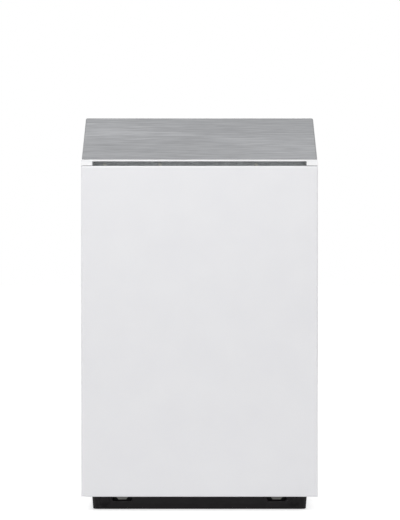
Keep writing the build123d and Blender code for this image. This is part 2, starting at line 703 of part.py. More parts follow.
def box_rail(z):
    """Box section across the back that the heat cell is bolted to."""
    reach = FRAME_X - POST
    rail = block(-reach, reach, FRAME_BACK_Y - MID_RAIL, FRAME_BACK_Y, z, z + MID_RAIL)
    wall = POST_SHEET
    return rail - block(-reach - PAST, reach + PAST, FRAME_BACK_Y - MID_RAIL + wall, FRAME_BACK_Y - wall,
                        z + wall, z + MID_RAIL - wall)


def floor_pan():
    """Sheet floor of the casing, on the base."""
    pan = block(-FRAME_X, FRAME_X, BASE_FRONT_Y + PAN_FRONT_GAP, FRAME_BACK_Y, BASE_TOP_Z, PAN_TOP_Z)
    for x in FOOT_XS.values():
        for y in FOOT_YS.values():
            pan -= rod(PAN_HOLE_R, (x, y, BASE_TOP_Z - PAST), (x, y, PAN_TOP_Z + PAST))
    return pan


def chassis_frame():
    """Floor pan, corner posts and rails."""
    posts = [angle_post(x_side, y_side) for x_side in (-1, 1) for y_side in (-1, 1)]
    rails = [cross_rail(-1), cross_rail(1), side_rail(-1), side_rail(1)]
    return [floor_pan(), *posts, *rails, box_rail(MID_RAIL_LOW_Z), box_rail(MID_RAIL_HIGH_Z)]


def side_outline(x, inset):
    """The side panel's outline across X, with every edge moved in by an inset."""
    front = SIDE_FRONT_Y + inset
    back = BACK_Y - SHEET - inset
    low = PAN_TOP_Z + inset
    high = PANEL_TOP_Z - inset
    clear = FLAP_ROLL + FLAP_OPEN_GAP + inset
    start = SLOPE_DEG - 90
    stop = math.degrees(math.asin((high - HINGE_Z) / clear))
    foot = hinge_point(clear, start)
    knee = (front, foot[1] - (foot[0] - front) * math.tan(SLOPE))
    arc = [(x, *hinge_point(clear, angle)) for angle in (start, (start + stop) / 2, stop)]
    corners = [(back, high), (back, low), (front, low), knee, foot]
    straight = Polyline(arc[-1], *[(x, y, z) for y, z in corners])
    return make_face([ThreePointArc(*arc), *straight.edges()])


def right_side_panel():
    """Sheet side with folded edges all round."""
    inner_x = SIDE_X - FLANGE
    panel = extrude(side_outline(inner_x, 0), amount=FLANGE, dir=(1, 0, 0))
    return panel - extrude(side_outline(inner_x, SHEET), amount=FLANGE - SHEET, dir=(1, 0, 0))


def back_panel():
    """Sheet back with holes for the pipes and the cable gland."""
    panel = block(-SIDE_X, SIDE_X, BACK_Y - SHEET, BACK_Y, BASE_TOP_Z, PANEL_TOP_Z)
    holes = [(x, STUB_Z, PIPE_R + HOLE_PLAY) for x in (FLOW_X, RETURN_X, GAS_X)]
    holes += [(x, STUB_Z, SMALL_PIPE_R + HOLE_PLAY) for x in (COLD_X, HOT_X)]
    holes += [(TRAP_X, CONDENSATE_OUT_Z, CONDENSATE_R + HOLE_PLAY), (GLAND_X, GLAND_Z, GLAND_R)]
    for x, z, radius in holes:
        panel -= rod(radius, (x, BACK_Y - SHEET - PAST, z), (x, BACK_Y + PAST, z))
    return panel


def top_panel():
    """Sheet top with the flue opening, its front edge close behind the flap's roll."""
    clear = FLAP_ROLL + FLAP_OPEN_GAP
    front = HINGE_Y + math.sqrt(clear ** 2 - (PANEL_TOP_Z - HINGE_Z) ** 2)
    panel = block(-SIDE_X, SIDE_X, front, BACK_Y, PANEL_TOP_Z, TOP_Z)
    hole_r = AIR_COLLAR_R - AIR_COLLAR_WALL
    return panel - rod(hole_r, (FLUE_X, FLUE_Y, PANEL_TOP_Z - PAST), (FLUE_X, FLUE_Y, TOP_Z + PAST))


def front_rail():
    """White strip over the grip slot, with a block at each end of the slot."""
    strip = block(-SIDE_X, SIDE_X, FRONT_Y, SIDE_FRONT_Y, RAIL_TOP_Z, STRIP_TOP_Z)
    strip = fillet(strip.edges().group_by(Axis.Y)[0].filter_by(Axis.X), STRIP_ROUND)
    tongue_x = SIDE_X - FLANGE - PANEL_GAP
    strip += block(-tongue_x, tongue_x, SIDE_FRONT_Y, CONSOLE_FRONT_Y - PANEL_GAP, RAIL_TOP_Z, STRIP_TOP_Z)
    end = block(SLOT_WIDTH / 2, SIDE_X, FRONT_Y, SIDE_FRONT_Y, COVER_TOP_Z + BLOCK_GAP, RAIL_TOP_Z)
    end -= block(SLOT_WIDTH / 2, SIDE_X, FRONT_Y - PAST, FRONT_Y + SHEET, RAIL_TOP_Z - SEAM, RAIL_TOP_Z)
    end = fillet(end.edges().group_by(Axis.Y)[0].filter_by(Axis.Z), STRIP_ROUND)
    return strip + end + mirror_x(end)


# ================================================================ front cover
def front_cover():
    """White sheet cover folded back on all four sides."""
    cover = block(-SIDE_X, SIDE_X, FRONT_Y, COVER_BACK_Y, COVER_BOTTOM_Z, COVER_TOP_Z)
    cover = fillet(cover.edges().group_by(Axis.Y)[0], BEND_RADIUS)
    hollow = block(-SIDE_X + SHEET, SIDE_X - SHEET, FRONT_Y + SHEET, COVER_BACK_Y,
                   COVER_BOTTOM_Z + SHEET, COVER_TOP_Z - SHEET)
    cover -= fillet(hollow.edges().group_by(Axis.Y)[0], BEND_RADIUS - SHEET)
    fold_y = FRONT_Y + COVER_FOLD
    cover -= block(-SIDE_X + SHEET, SIDE_X - SHEET, fold_y, COVER_BACK_Y,
                   COVER_BOTTOM_Z - PAST, COVER_TOP_Z + PAST)
    lip_x = SLOT_WIDTH / 2
    return cover + block(-lip_x, lip_x, fold_y - SHEET, fold_y, COVER_TOP_Z - SHEET - GRIP_LIP,
                         COVER_TOP_Z - SHEET)


def cover_insulation():
    """Foam mat glued behind the cover."""
    reach = SIDE_X - MAT_MARGIN
    mat = block(-reach, reach, FRONT_Y + SHEET, FRONT_Y + SHEET + MAT_THICK,
                COVER_BOTTOM_Z + MAT_RISE, COVER_TOP_Z - MAT_DROP)
    return chamfer(mat.edges().group_by(Axis.Y)[-1], MAT_EDGE)


def cover_lug(x):
    """Lug on the cover's bottom fold that hangs in a pocket of the base."""
    fold_top = COVER_BOTTOM_Z + SHEET
    arm_top = fold_top + LUG_ARM
    back_y = BASE_FRONT_Y + LUG_Y_BACK
    wide = LUG_WIDTH / 2
    tip = LUG_TIP_WIDTH / 2
    arm = block(x - wide, x + wide, FRONT_Y + LUG_ARM_START, back_y - LUG_THICK, fold_top, arm_top)
    corners = ((-wide, arm_top), (wide, arm_top), (wide, LUG_TAPER_Z), (tip, LUG_TIP_Z),
               (-tip, LUG_TIP_Z), (-wide, LUG_TAPER_Z))
    outline = make_face(Polyline(*[(x + px, back_y - LUG_THICK, pz) for px, pz in corners], close=True))
    return arm + extrude(outline, amount=LUG_THICK, dir=(0, 1, 0))


def cover_lugs():
    return [cover_lug(-LUG_X), cover_lug(LUG_X)]


def cover_catch(x):
    """Moulded catch whose round nose snaps into the frame's front rail."""
    root_y = FRONT_Y + SHEET
    face_y = FRAME_FRONT_Y - CATCH_FACE_GAP
    body = block(x - CATCH_WIDTH / 2, x + CATCH_WIDTH / 2, root_y, face_y,
                 CATCH_Z - CATCH_HEIGHT / 2, CATCH_Z + CATCH_HEIGHT / 2)
    body = chamfer(body.edges().group_by(Axis.Y)[-1], CATCH_EDGE)
    nose = rod(CATCH_NOSE_R, (x, face_y, CATCH_Z), (x, face_y + CATCH_NOSE_REACH, CATCH_Z))
    return body + fillet(nose.edges().group_by(Axis.Y)[-1], CATCH_NOSE_ROUND)


def cover_catches():
    return [cover_catch(-CATCH_X), cover_catch(CATCH_X)]


# ================================================================ control flap
def flap_outline(x):
    """The flap seen from the side: face, roll round the hinge and flat bottom."""
    low = (FLAP_LOW_Y, FLAP_LOW_Z)
    inner_low = (flap_y_at(FLAP_LOW_Z, FLAP_DEPTH), FLAP_LOW_Z)
    arc = [(x, *hinge_point(FLAP_ROLL, SLOPE_DEG + turn)) for turn in (-90, 0, 90)]
    straight = Polyline(arc[-1], (x, *low), (x, *inner_low), arc[0])
    return make_face([ThreePointArc(*arc), *straight.edges()])


def flap_hollow_outline(x):
    """What the folded sheet leaves free behind the face and inside the roll."""
    inner_r = FLAP_ROLL - FLAP_SHEET
    floor_z = FLAP_LOW_Z + FLAP_SHEET
    start = (flap_y_at(floor_z, FLAP_SHEET), floor_z)
    deep = 2 * FLAP_DEPTH
    arc = [(x, *hinge_point(inner_r, angle))
           for angle in (ROLL_END_DEG, (ROLL_END_DEG + 90 + SLOPE_DEG) / 2, 90 + SLOPE_DEG)]
    outside = hinge_point(FLAP_DEPTH, ROLL_END_DEG)
    below = flap_point(0, deep)
    floor_end = (flap_y_at(floor_z, deep), floor_z)
    straight = Polyline(arc[-1], (x, *start), (x, *floor_end), (x, *below), (x, *outside), arc[0])
    return make_face([ThreePointArc(*arc), *straight.edges()])


def control_flap():
    """Brushed sheet flap: sloping face, side folds, bottom fold and a roll round the hinge."""
    half = FLAP_WIDTH / 2
    flap = extrude(flap_outline(-half), amount=FLAP_WIDTH, dir=(1, 0, 0))
    rims = [edge for side in (0, -1) for edge in flap.edges().group_by(Axis.X)[side]
            if face_side_edge(edge)]
    flap = fillet(rims, FLAP_BEND)
    inner = half - FLAP_SHEET
    hollow = extrude(flap_hollow_outline(-inner), amount=2 * inner, dir=(1, 0, 0))
    creases = [edge for side in (0, -1) for edge in hollow.edges().group_by(Axis.X)[side]
               if face_side_edge(edge)]
    flap -= fillet(creases, FLAP_BEND - FLAP_SHEET)
    for x in (-half, half):
        flap -= rod(HINGE_PIN_R, (x - 2 * FLAP_SHEET, HINGE_Y, HINGE_Z),
                    (x + 2 * FLAP_SHEET, HINGE_Y, HINGE_Z))
    return flap


def face_side_edge(edge):
    """True for the long edge beside the flap's sloping face."""
    middle = edge.center()
    along = (HINGE_Y - middle.Y) * math.cos(SLOPE) + (HINGE_Z - middle.Z) * math.sin(SLOPE)
    out = (middle.Z - HINGE_Z) * math.cos(SLOPE) - (middle.Y - HINGE_Y) * math.sin(SLOPE)
    return out > FLAP_ROLL / 2 and along > FLAP_ROLL and edge.geom_type == GeomType.LINE


def flap_hinge_pin(x_side):
    outer = x_side * FLAP_WIDTH / 2
    inner = outer - x_side * HINGE_PIN_LENGTH
    return rod(HINGE_PIN_R, (inner, HINGE_Y, HINGE_Z), (outer, HINGE_Y, HINGE_Z))


def flap_hinge_pins():
    return [flap_hinge_pin(-1), flap_hinge_pin(1)]


# ================================================================ control console
def console_face_z(y):
    """Height of the console's sloping face."""
    y0, z0 = flap_point(0, CONSOLE_UNDER_FLAP)
    return z0 + (y - y0) * math.tan(SLOPE)


# Local frame of the console face: x to the right, y up the slope, z out of the face.
FACE = Plane(origin=(0, CONSOLE_MID_Y, console_face_z(CONSOLE_MID_Y)), x_dir=(1, 0, 0),
             z_dir=(0, -math.sin(SLOPE), math.cos(SLOPE)))


def on_face(shape):
    """Moves a shape from the face's own frame to its place."""
    return shape.moved(FACE.location)


def console_shell():
    """Wedge-shaped moulding, open at the back."""
    wall = CONSOLE_WALL
    half = CONSOLE_HALF_WIDTH
    front, back = CONSOLE_FRONT_Y, CONSOLE_BACK_Y
    outline = ((front, RAIL_TOP_Z), (front, console_face_z(front)), (back, console_face_z(back)),
               (back, RAIL_TOP_Z))
    under = wall / math.cos(SLOPE)
    past = back + PAST
    inside = ((front + wall, RAIL_TOP_Z + wall), (front + wall, console_face_z(front + wall) - under),
              (past, console_face_z(past) - under), (past, RAIL_TOP_Z + wall))
    return prism(outline, -half, half) - prism(inside, wall - half, half - wall)


def console_ear(x_side):
    """Upright at one end that the flap's hinge pin turns in."""
    outer = x_side * CONSOLE_HALF_WIDTH
    inner = outer - x_side * EAR_THICK
    start_z = console_face_z(HINGE_Y - EAR_RADIUS) - 2 * EAR_RADIUS
    ear = block(min(inner, outer), max(inner, outer), HINGE_Y - EAR_RADIUS, HINGE_Y, start_z, HINGE_Z)
    ear += rod(EAR_RADIUS, (inner, HINGE_Y, HINGE_Z), (outer, HINGE_Y, HINGE_Z))
    pin_space = rod(HINGE_PIN_R + FIT, (inner - x_side * PAST, HINGE_Y, HINGE_Z),
                    (outer + x_side * PAST, HINGE_Y, HINGE_Z))
    return ear - pin_space


def control_console():
    """The moulding with its openings, bosses, standoffs and hinge ears."""
    wall = CONSOLE_WALL
    console = console_shell()
    console += [console_ear(-1), console_ear(1)]
    wide, high = DISPLAY_SIZE[0] / 2, DISPLAY_SIZE[1] / 2
    inset = DISPLAY_CUTOUT_MARGIN
    bed = DISPLAY_THICK - DISPLAY_PROUD
    console -= on_face(block(DISPLAY_X - wide, DISPLAY_X + wide, -high, high, -bed, PAST))
    console -= on_face(block(DISPLAY_X - wide + inset, DISPLAY_X + wide - inset, inset - high, high - inset,
                             -2 * wall, 0))
    console += on_face(rod(KNOB_BOSS_R, (KNOB_X, 0, -KNOB_BOSS_DEPTH), (KNOB_X, 0, -wall)))
    console -= on_face(rod(KNOB_SHAFT_R + FIT, (KNOB_X, 0, -KNOB_BOSS_DEPTH - PAST), (KNOB_X, 0, PAST)))
    console -= on_face(rod(GAUGE_R, (GAUGE_X, 0, -2 * wall), (GAUGE_X, 0, PAST)))
    half_x, half_y = SWITCH_SIZE[0] / 2, SWITCH_SIZE[1] / 2
    sleeve = SWITCH_PIVOT + 2 * SWITCH_PIN_R
    outer_x, outer_y = half_x + SWITCH_FRAME, half_y + SWITCH_FRAME
    frame = block(SWITCH_X - outer_x, SWITCH_X + outer_x, -outer_y, outer_y, -sleeve, -wall)
    console += on_face(frame)
    console -= on_face(block(SWITCH_X - half_x, SWITCH_X + half_x, -half_y, half_y, -sleeve - PAST, PAST))
    pin_reach = outer_x + PAST
    console -= on_face(rod(SWITCH_PIN_R + FIT, (SWITCH_X - pin_reach, 0, -SWITCH_PIVOT),
                           (SWITCH_X + pin_reach, 0, -SWITCH_PIVOT)))
    console += on_face(rod(BUTTON_R + BUTTON_BOSS_WALL, (BUTTON_X, 0, -2 * wall), (BUTTON_X, 0, -wall)))
    console -= on_face(rod(BUTTON_R + FIT, (BUTTON_X, 0, -3 * wall), (BUTTON_X, 0, PAST)))
    for x, y in board_corners():
        console += on_face(rod(STANDOFF_R, (x, y, -wall - BOARD_DROP), (x, y, -wall / 2)))
    return console


def board_corners():
    """Where the board is screwed on, in the face's frame."""
    reach_x = BOARD_SIZE[0] / 2 - STANDOFF_INSET
    reach_y = BOARD_SIZE[1] / 2 - STANDOFF_INSET
    return [(BOARD_X + sx * reach_x, BOARD_Y + sy * reach_y) for sx in (-1, 1) for sy in (-1, 1)]


def display_window():
    """Clear window of the display, seated in the console face."""
    wide, high = DISPLAY_SIZE[0] / 2, DISPLAY_SIZE[1] / 2
    window = block(DISPLAY_X - wide, DISPLAY_X + wide, -high, high,
                   DISPLAY_PROUD - DISPLAY_THICK, DISPLAY_PROUD)
    return on_face(chamfer(window.edges().group_by(Axis.Z)[-1], DISPLAY_EDGE))


def control_board():
    """Printed board with relays, a connector row and the display module."""
    top = -CONSOLE_WALL - BOARD_DROP
    half_x, half_y = BOARD_SIZE[0] / 2, BOARD_SIZE[1] / 2
    board = block(BOARD_X - half_x, BOARD_X + half_x, BOARD_Y - half_y, BOARD_Y + half_y,
                  top - BOARD_THICK, top)
    for count in range(RELAYS):
        x = BOARD_X - half_x + BOARD_MARGIN + count * RELAY_PITCH
        y = BOARD_Y + half_y - RELAY_SIZE[1] - RELAY_EDGE
        board += block(x, x + RELAY_SIZE[0], y, y + RELAY_SIZE[1], top, top + RELAY_SIZE[2])
    wide, high = DISPLAY_SIZE[0] / 2, DISPLAY_SIZE[1] / 2
    inset = MODULE_MARGIN
    board += block(BOARD_X - half_x + BOARD_MARGIN, DISPLAY_X + wide - inset, inset - high, high - inset,
                   top, top + BOARD_DROP - MODULE_GAP)
    return on_face(board)


def gauge_case():
    """Round case of the pressure gauge with its dial."""
    low = GAUGE_PROUD - GAUGE_DEPTH
    dial = GAUGE_PROUD - GAUGE_DIAL
    case = rod(GAUGE_R, (GAUGE_X, 0, low), (GAUGE_X, 0, 0))
    case += rod(GAUGE_R + GAUGE_WALL, (GAUGE_X, 0, 0), (GAUGE_X, 0, GAUGE_PROUD))
    case = fillet(case.edges().group_by(Axis.Z)[-1], GAUGE_ROUND)
    case -= rod(GAUGE_R - GAUGE_WALL, (GAUGE_X, 0, dial), (GAUGE_X, 0, GAUGE_PROUD + PAST))
    case -= rod(NEEDLE_PIN_R + FIT, (GAUGE_X, 0, dial - GAUGE_PIN_BORE), (GAUGE_X, 0, dial + PAST))
    return on_face(case)


def gauge_lens():
    """Clear disc just inside the gauge's rim."""
    top = GAUGE_PROUD - LENS_INSET
    return on_face(rod(GAUGE_R - GAUGE_WALL - FIT, (GAUGE_X, 0, top - GAUGE_LENS), (GAUGE_X, 0, top)))


def gauge_needle():
    """Needle at the low end of its scale, down to the left."""
    low = GAUGE_PROUD - GAUGE_DIAL + NEEDLE_GAP
    needle = block(-NEEDLE_WIDTH / 2, NEEDLE_WIDTH / 2, -NEEDLE_TAIL, NEEDLE_LENGTH, low, low + NEEDLE_THICK)
    needle += rod(NEEDLE_HUB_R, (0, 0, low), (0, 0, low + 2 * NEEDLE_THICK))
    needle += rod(NEEDLE_PIN_R, (0, 0, low - NEEDLE_PIN), (0, 0, low + NEEDLE_THICK))
    needle = needle.rotate(Axis.Z, NEEDLE_SWEEP / 2)
    return on_face(needle.moved(Location((GAUGE_X, 0, 0))))


def temperature_knob():
    """Fluted knob on its shaft."""
    knob = rod(KNOB_R, (0, 0, KNOB_LIFT), (0, 0, KNOB_LIFT + KNOB_HEIGHT))
    knob = fillet(knob.edges().group_by(Axis.Z)[-1], KNOB_ROUND)
    for count in range(KNOB_FLUTES):
        angle = math.radians(360 * count / KNOB_FLUTES)
        x, y = KNOB_R * math.cos(angle), KNOB_R * math.sin(angle)
        knob -= rod(KNOB_FLUTE_R, (x, y, KNOB_LIFT + KNOB_SKIRT), (x, y, KNOB_LIFT + KNOB_HEIGHT + PAST))
    top = KNOB_LIFT + KNOB_HEIGHT
    knob -= block(-KNOB_MARK / 2, KNOB_MARK / 2, KNOB_MARK_START, KNOB_R - KNOB_MARK_EDGE,
                  top - KNOB_MARK_DEPTH, top + PAST)
    knob += rod(KNOB_SHAFT_R, (0, 0, -KNOB_BOSS_DEPTH - KNOB_SHAFT_END), (0, 0, KNOB_LIFT + PAST))
    knob = knob.rotate(Axis.Z, KNOB_SWEEP / 2)
    return on_face(knob.moved(Location((KNOB_X, 0, 0))))


def power_switch():
    """Rocker on its pivot pins, tipped to off."""
    half_x = SWITCH_SIZE[0] / 2 - SWITCH_PLAY
    half_y = SWITCH_SIZE[1] / 2 - SWITCH_END_PLAY
    rocker = block(-half_x, half_x, -half_y, half_y, -SWITCH_PIVOT - SWITCH_PIN_R, SWITCH_RISE)
    rocker = fillet(rocker.edges().group_by(Axis.Z)[-1], SWITCH_ROUND)
    pin_reach = half_x + SWITCH_PLAY + SWITCH_PIN_SEAT
    rocker += rod(SWITCH_PIN_R, (-pin_reach, 0, -SWITCH_PIVOT), (pin_reach, 0, -SWITCH_PIVOT))
    pivot = Axis((0, 0, -SWITCH_PIVOT), (1, 0, 0))
    return on_face(rocker.rotate(pivot, -SWITCH_TILT).moved(Location((SWITCH_X, 0, 0))))


def reset_button():
    """Round push button with a collar under the console."""
    boss_end = -2 * CONSOLE_WALL
    collar_top = boss_end - BUTTON_COLLAR_GAP
    button = rod(BUTTON_R, (BUTTON_X, 0, collar_top - BUTTON_COLLAR / 2), (BUTTON_X, 0, BUTTON_PROUD))
    button = fillet(button.edges().group_by(Axis.Z)[-1], BUTTON_ROUND)
    collar_low = collar_top - BUTTON_COLLAR
    button += rod(BUTTON_R + BUTTON_COLLAR, (BUTTON_X, 0, collar_low), (BUTTON_X, 0, collar_top))
    return on_face(button)


# ================================================================ heat cell and burner
def heat_exchanger():
    """Cast block: burner space above, flue-gas ways below, ribs and water ports in front."""
    casting = block(CELL_LEFT_X, CELL_RIGHT_X, CELL_FRONT_Y, CELL_BACK_Y, CELL_FLOOR_Z, CELL_TOP_Z)
    inner = (CELL_LEFT_X + CELL_WALL, CELL_RIGHT_X - CELL_WALL,
             CELL_FRONT_Y + CELL_WALL, CELL_BACK_Y - CELL_WALL)
    chamber_z = CELL_TOP_Z - CHAMBER_DEPTH
    casting -= block(*inner, chamber_z, CELL_TOP_Z + PAST)
    pitch = (inner[1] - inner[0]) / GAS_WAYS
    for count in range(GAS_WAYS):
        middle = inner[0] + pitch * (count + 0.5)
        casting -= block(middle - GAS_WAY_WIDTH / 2, middle + GAS_WAY_WIDTH / 2, inner[2], inner[3],
                         CELL_FLOOR_Z - PAST, chamber_z + PAST)
    rib_pitch = CELL_SIZE[2] / CELL_RIBS
    for count in range(CELL_RIBS):
        z = CELL_FLOOR_Z + rib_pitch * (count + 0.5) - CELL_RIB / 2
        casting += block(CELL_LEFT_X, CELL_RIGHT_X, CELL_FRONT_Y - CELL_RIB, CELL_FRONT_Y, z, z + CELL_RIB)
    for x, z in ((FLOW_X, FLOW_PORT_Z), (RETURN_X, RETURN_PORT_Z)):
        casting += rod(PIPE_R + PORT_FLANGE, (x, CELL_FRONT_Y - PORT_PAD, z), (x, CELL_FRONT_Y + PAST, z))
        casting -= rod(PIPE_R - PIPE_WALL, (x, CELL_FRONT_Y - PORT_PAD - PAST, z),
                       (x, CELL_FRONT_Y + CELL_WALL / 2, z))
    return casting


def burner_door():
    """Plate on top of the casting, with its nuts."""
    inset = DOOR_INSET
    edge = (CELL_LEFT_X + inset, CELL_RIGHT_X - inset, CELL_FRONT_Y + inset, CELL_BACK_Y - inset)
    door = block(*edge, CELL_TOP_Z, DOOR_TOP_Z)
    door = fillet(door.edges().filter_by(Axis.Z), DOOR_CORNER)
    duct_x = FAN_DUCT_WIDTH / 2 - FAN_WALL
    door -= block(CELL_X - duct_x, CELL_X + duct_x, FAN_FRONT_Y + FAN_WALL, FAN_BACK_Y - FAN_WALL,
                  CELL_TOP_Z - PAST, DOOR_TOP_Z + PAST)
    for x in electrode_xs():
        door -= rod(ELECTRODE_HOLE_R, (x, BURNER_Y, CELL_TOP_Z - PAST), (x, BURNER_Y, DOOR_TOP_Z + PAST))
    nuts = []
    for x in (edge[0] + DOOR_NUT_INSET, edge[1] - DOOR_NUT_INSET):
        for y in (edge[2] + DOOR_NUT_INSET, CELL_MID_Y, edge[3] - DOOR_NUT_INSET):
            hexagon = Plane(origin=(x, y, DOOR_TOP_Z)) * RegularPolygon(DOOR_NUT_R, 6)
            nuts.append(extrude(hexagon, amount=DOOR_NUT))
    return [door, *nuts]


def burner_tube():
    """Perforated burner tube hanging from the door."""
    top = (CELL_X, BURNER_Y, CELL_TOP_Z)
    low_z = CELL_TOP_Z - BURNER_LENGTH
    tube = rod(BURNER_R, (CELL_X, BURNER_Y, low_z), top)
    tube += rod(BURNER_R + BURNER_LIP, (CELL_X, BURNER_Y, CELL_TOP_Z - BURNER_WALL), top)
    tube -= rod(BURNER_R - BURNER_WALL, (CELL_X, BURNER_Y, low_z + BURNER_WALL),
                (CELL_X, BURNER_Y, CELL_TOP_Z + PAST))
    for row in range(BURNER_ROWS):
        z = low_z + BURNER_LENGTH * (row + 1) / (BURNER_ROWS + 1)
        for count in range(BURNER_HOLES // 2):
            angle = math.pi * (count + 0.5 * (row % 2)) / (BURNER_HOLES / 2)
            dx, dy = 2 * BURNER_R * math.cos(angle), 2 * BURNER_R * math.sin(angle)
            tube -= rod(BURNER_HOLE_R, (CELL_X - dx, BURNER_Y - dy, z), (CELL_X + dx, BURNER_Y + dy, z))
    return tube


def electrode_xs():
    middle = CELL_X + ELECTRODE_X
    return (middle - ELECTRODE_PITCH / 2, middle + ELECTRODE_PITCH / 2)


def ignition_electrodes():
    """Ceramic block on the door with two rods down into the burner space."""
    wide, deep, high = ELECTRODE_BLOCK
    middle = CELL_X + ELECTRODE_X
    piece = block(middle - wide / 2, middle + wide / 2, BURNER_Y - deep / 2, BURNER_Y + deep / 2,
                  DOOR_TOP_Z, DOOR_TOP_Z + high)
    piece = fillet(piece.edges().filter_by(Axis.Z), ELECTRODE_BLOCK_ROUND)
    for x in electrode_xs():
        piece += rod(ELECTRODE_R, (x, BURNER_Y, CELL_TOP_Z - ELECTRODE_LENGTH),
                     (x, BURNER_Y, DOOR_TOP_Z + PAST))
    return piece


# ================================================================ fan, venturi and gas valve
def along_fan(y):
    """A point on the fan's axis."""
    return FAN_X, y, FAN_Z


def fan_housing():
    """Round fan case with its outlet duct down to the burner door."""
    right = FAN_X + FAN_R
    left = right - FAN_DUCT_WIDTH
    wall = FAN_WALL
    housing = rod(FAN_R, along_fan(FAN_FRONT_Y), along_fan(FAN_BACK_Y))
    housing += block(left, right, FAN_FRONT_Y, FAN_BACK_Y, DOOR_TOP_Z, FAN_Z)
    housing -= rod(FAN_R - wall, along_fan(FAN_FRONT_Y + wall), along_fan(FAN_BACK_Y - wall))
    housing -= block(left + wall, right - wall, FAN_FRONT_Y + wall, FAN_BACK_Y - wall,
                     DOOR_TOP_Z - PAST, FAN_Z)
    housing -= rod(FAN_INLET_R, along_fan(FAN_FRONT_Y - PAST), along_fan(FAN_FRONT_Y + wall + PAST))
    return housing - rod(FAN_SHAFT_HOLE_R, along_fan(FAN_BACK_Y - wall - PAST), along_fan(FAN_BACK_Y + PAST))


def fan_motor():
    """Round motor behind the fan, bored for the shaft."""
    motor = rod(FAN_MOTOR_R, along_fan(FAN_BACK_Y), along_fan(FAN_BACK_Y + FAN_MOTOR_LENGTH))
    motor = fillet(motor.edges().group_by(Axis.Y)[-1], MOTOR_ROUND)
    depth = FAN_BACK_Y + FAN_MOTOR_LENGTH - MOTOR_CAP
    return motor - rod(FAN_SHAFT_R + FIT, along_fan(FAN_BACK_Y - PAST), along_fan(depth))


def fan_impeller():
    """Blade wheel, hub and shaft in one."""
    back = FAN_BACK_Y - FAN_WALL - IMPELLER_GAP
    front = back - IMPELLER_DEPTH
    plate = IMPELLER_PLATE
    wheel = rod(IMPELLER_R, along_fan(back - plate), along_fan(back))
    wheel += ring(IMPELLER_R, IMPELLER_EYE_R, along_fan(front), along_fan(front + plate))
    wheel += rod(IMPELLER_HUB_R, along_fan(back - IMPELLER_DEPTH / 2), along_fan(back))
    for count in range(IMPELLER_BLADES):
        blade = block(BLADE_START_R, BLADE_END_R, front + plate / 2, back - plate / 2, -plate / 2, plate / 2)
        blade = blade.rotate(Axis.Y, 360 * count / IMPELLER_BLADES)
        wheel += blade.moved(Location((FAN_X, 0, FAN_Z)))
    shaft_end = FAN_BACK_Y + FAN_MOTOR_LENGTH - MOTOR_CAP - SHAFT_END_GAP
    return wheel + rod(FAN_SHAFT_R, along_fan(back - plate), along_fan(shaft_end))


def venturi_mixer():
    """Air and gas mixer on the fan's inlet, narrow in the middle."""
    inlet_y = FAN_FRONT_Y - VENTURI_LENGTH
    middle = VENTURI_LENGTH / 2
    profile = ((0, FAN_INLET_R), (0, VENTURI_R), (VENTURI_LENGTH, VENTURI_R), (VENTURI_LENGTH, FAN_INLET_R),
               (middle, VENTURI_THROAT_R))
    outline = make_face(Polyline(*[(radius, 0, along) for along, radius in profile], close=True))
    seat = Plane(origin=along_fan(inlet_y), z_dir=(0, 1, 0))
    mixer = revolve(outline, axis=Axis.Z).moved(seat.location)
    pad = VENTURI_PAD
    side = block(VALVE_RIGHT_X, FAN_X - VENTURI_THROAT_R - VENTURI_SEAT, VALVE_Y - pad, VALVE_Y + pad,
                 FAN_Z - pad, FAN_Z + pad)
    gas_way = rod(GAS_WAY_R, (VALVE_RIGHT_X - PAST, VALVE_Y, FAN_Z), (FAN_X, VALVE_Y, FAN_Z))
    return mixer + side - gas_way


def gas_valve():
    """Valve block with two coil domes and an inlet port."""
    wide, deep, high = GAS_VALVE_SIZE
    left = VALVE_RIGHT_X - wide
    middle = left + wide / 2
    top = FAN_Z + high / 2
    valve = block(left, VALVE_RIGHT_X, VALVE_Y - deep / 2, VALVE_Y + deep / 2, FAN_Z - high / 2, top)
    valve = fillet(valve.edges().filter_by(Axis.Z), GAS_VALVE_CORNER)
    for x in (middle - COIL_PITCH / 2, middle + COIL_PITCH / 2):
        coil = rod(COIL_R, (x, VALVE_Y, top - PAST), (x, VALVE_Y, top + COIL_HEIGHT))
        valve += fillet(coil.edges().group_by(Axis.Z)[-1], COIL_ROUND)
    port = left - PORT_PAD
    valve += rod(PIPE_R + PORT_FLANGE, (port, VALVE_Y, FAN_Z), (left + PAST, VALVE_Y, FAN_Z))
    return valve - rod(PIPE_R - PIPE_WALL, (port - PAST, VALVE_Y, FAN_Z), (middle, VALVE_Y, FAN_Z))


def gas_pipe():
    """22 mm pipe from the back to the gas valve."""
    end_x = VALVE_RIGHT_X - GAS_VALVE_SIZE[0] - PORT_PAD
    points = [(GAS_X, STUB_Y, STUB_Z), (GAS_X, GAS_TURN_Y, STUB_Z), (GAS_X, GAS_TURN_Y, FAN_Z),
              (GAS_X, VALVE_Y, FAN_Z), (end_x, VALVE_Y, FAN_Z)]
    return bent_pipe(PIPE_R, PIPE_WALL, points, PIPE_BEND)


# ================================================================ flue and condensate
def flue_duct():
    """Plastic flue from the sump up to its socket above the top panel."""
    top = TOP_Z + AIR_COLLAR_HEIGHT
    socket_z = top - FLUE_SOCKET
    radius = FLUE_BORE_R
    points = [(CELL_RIGHT_X, FLUE_Y, FLUE_Z), (FLUE_X, FLUE_Y, FLUE_Z), (FLUE_X, FLUE_Y, socket_z)]
    duct = bent_pipe(radius, FLUE_WALL, points, FLUE_BEND)
    socket = rod(radius + FLUE_WALL, (FLUE_X, FLUE_Y, socket_z - FLUE_WALL), (FLUE_X, FLUE_Y, top))
    socket -= rod(radius, (FLUE_X, FLUE_Y, socket_z), (FLUE_X, FLUE_Y, top + PAST))
    socket -= rod(radius - FLUE_WALL, (FLUE_X, FLUE_Y, socket_z - FLUE_WALL - PAST), (FLUE_X, FLUE_Y, top))
    return duct + socket


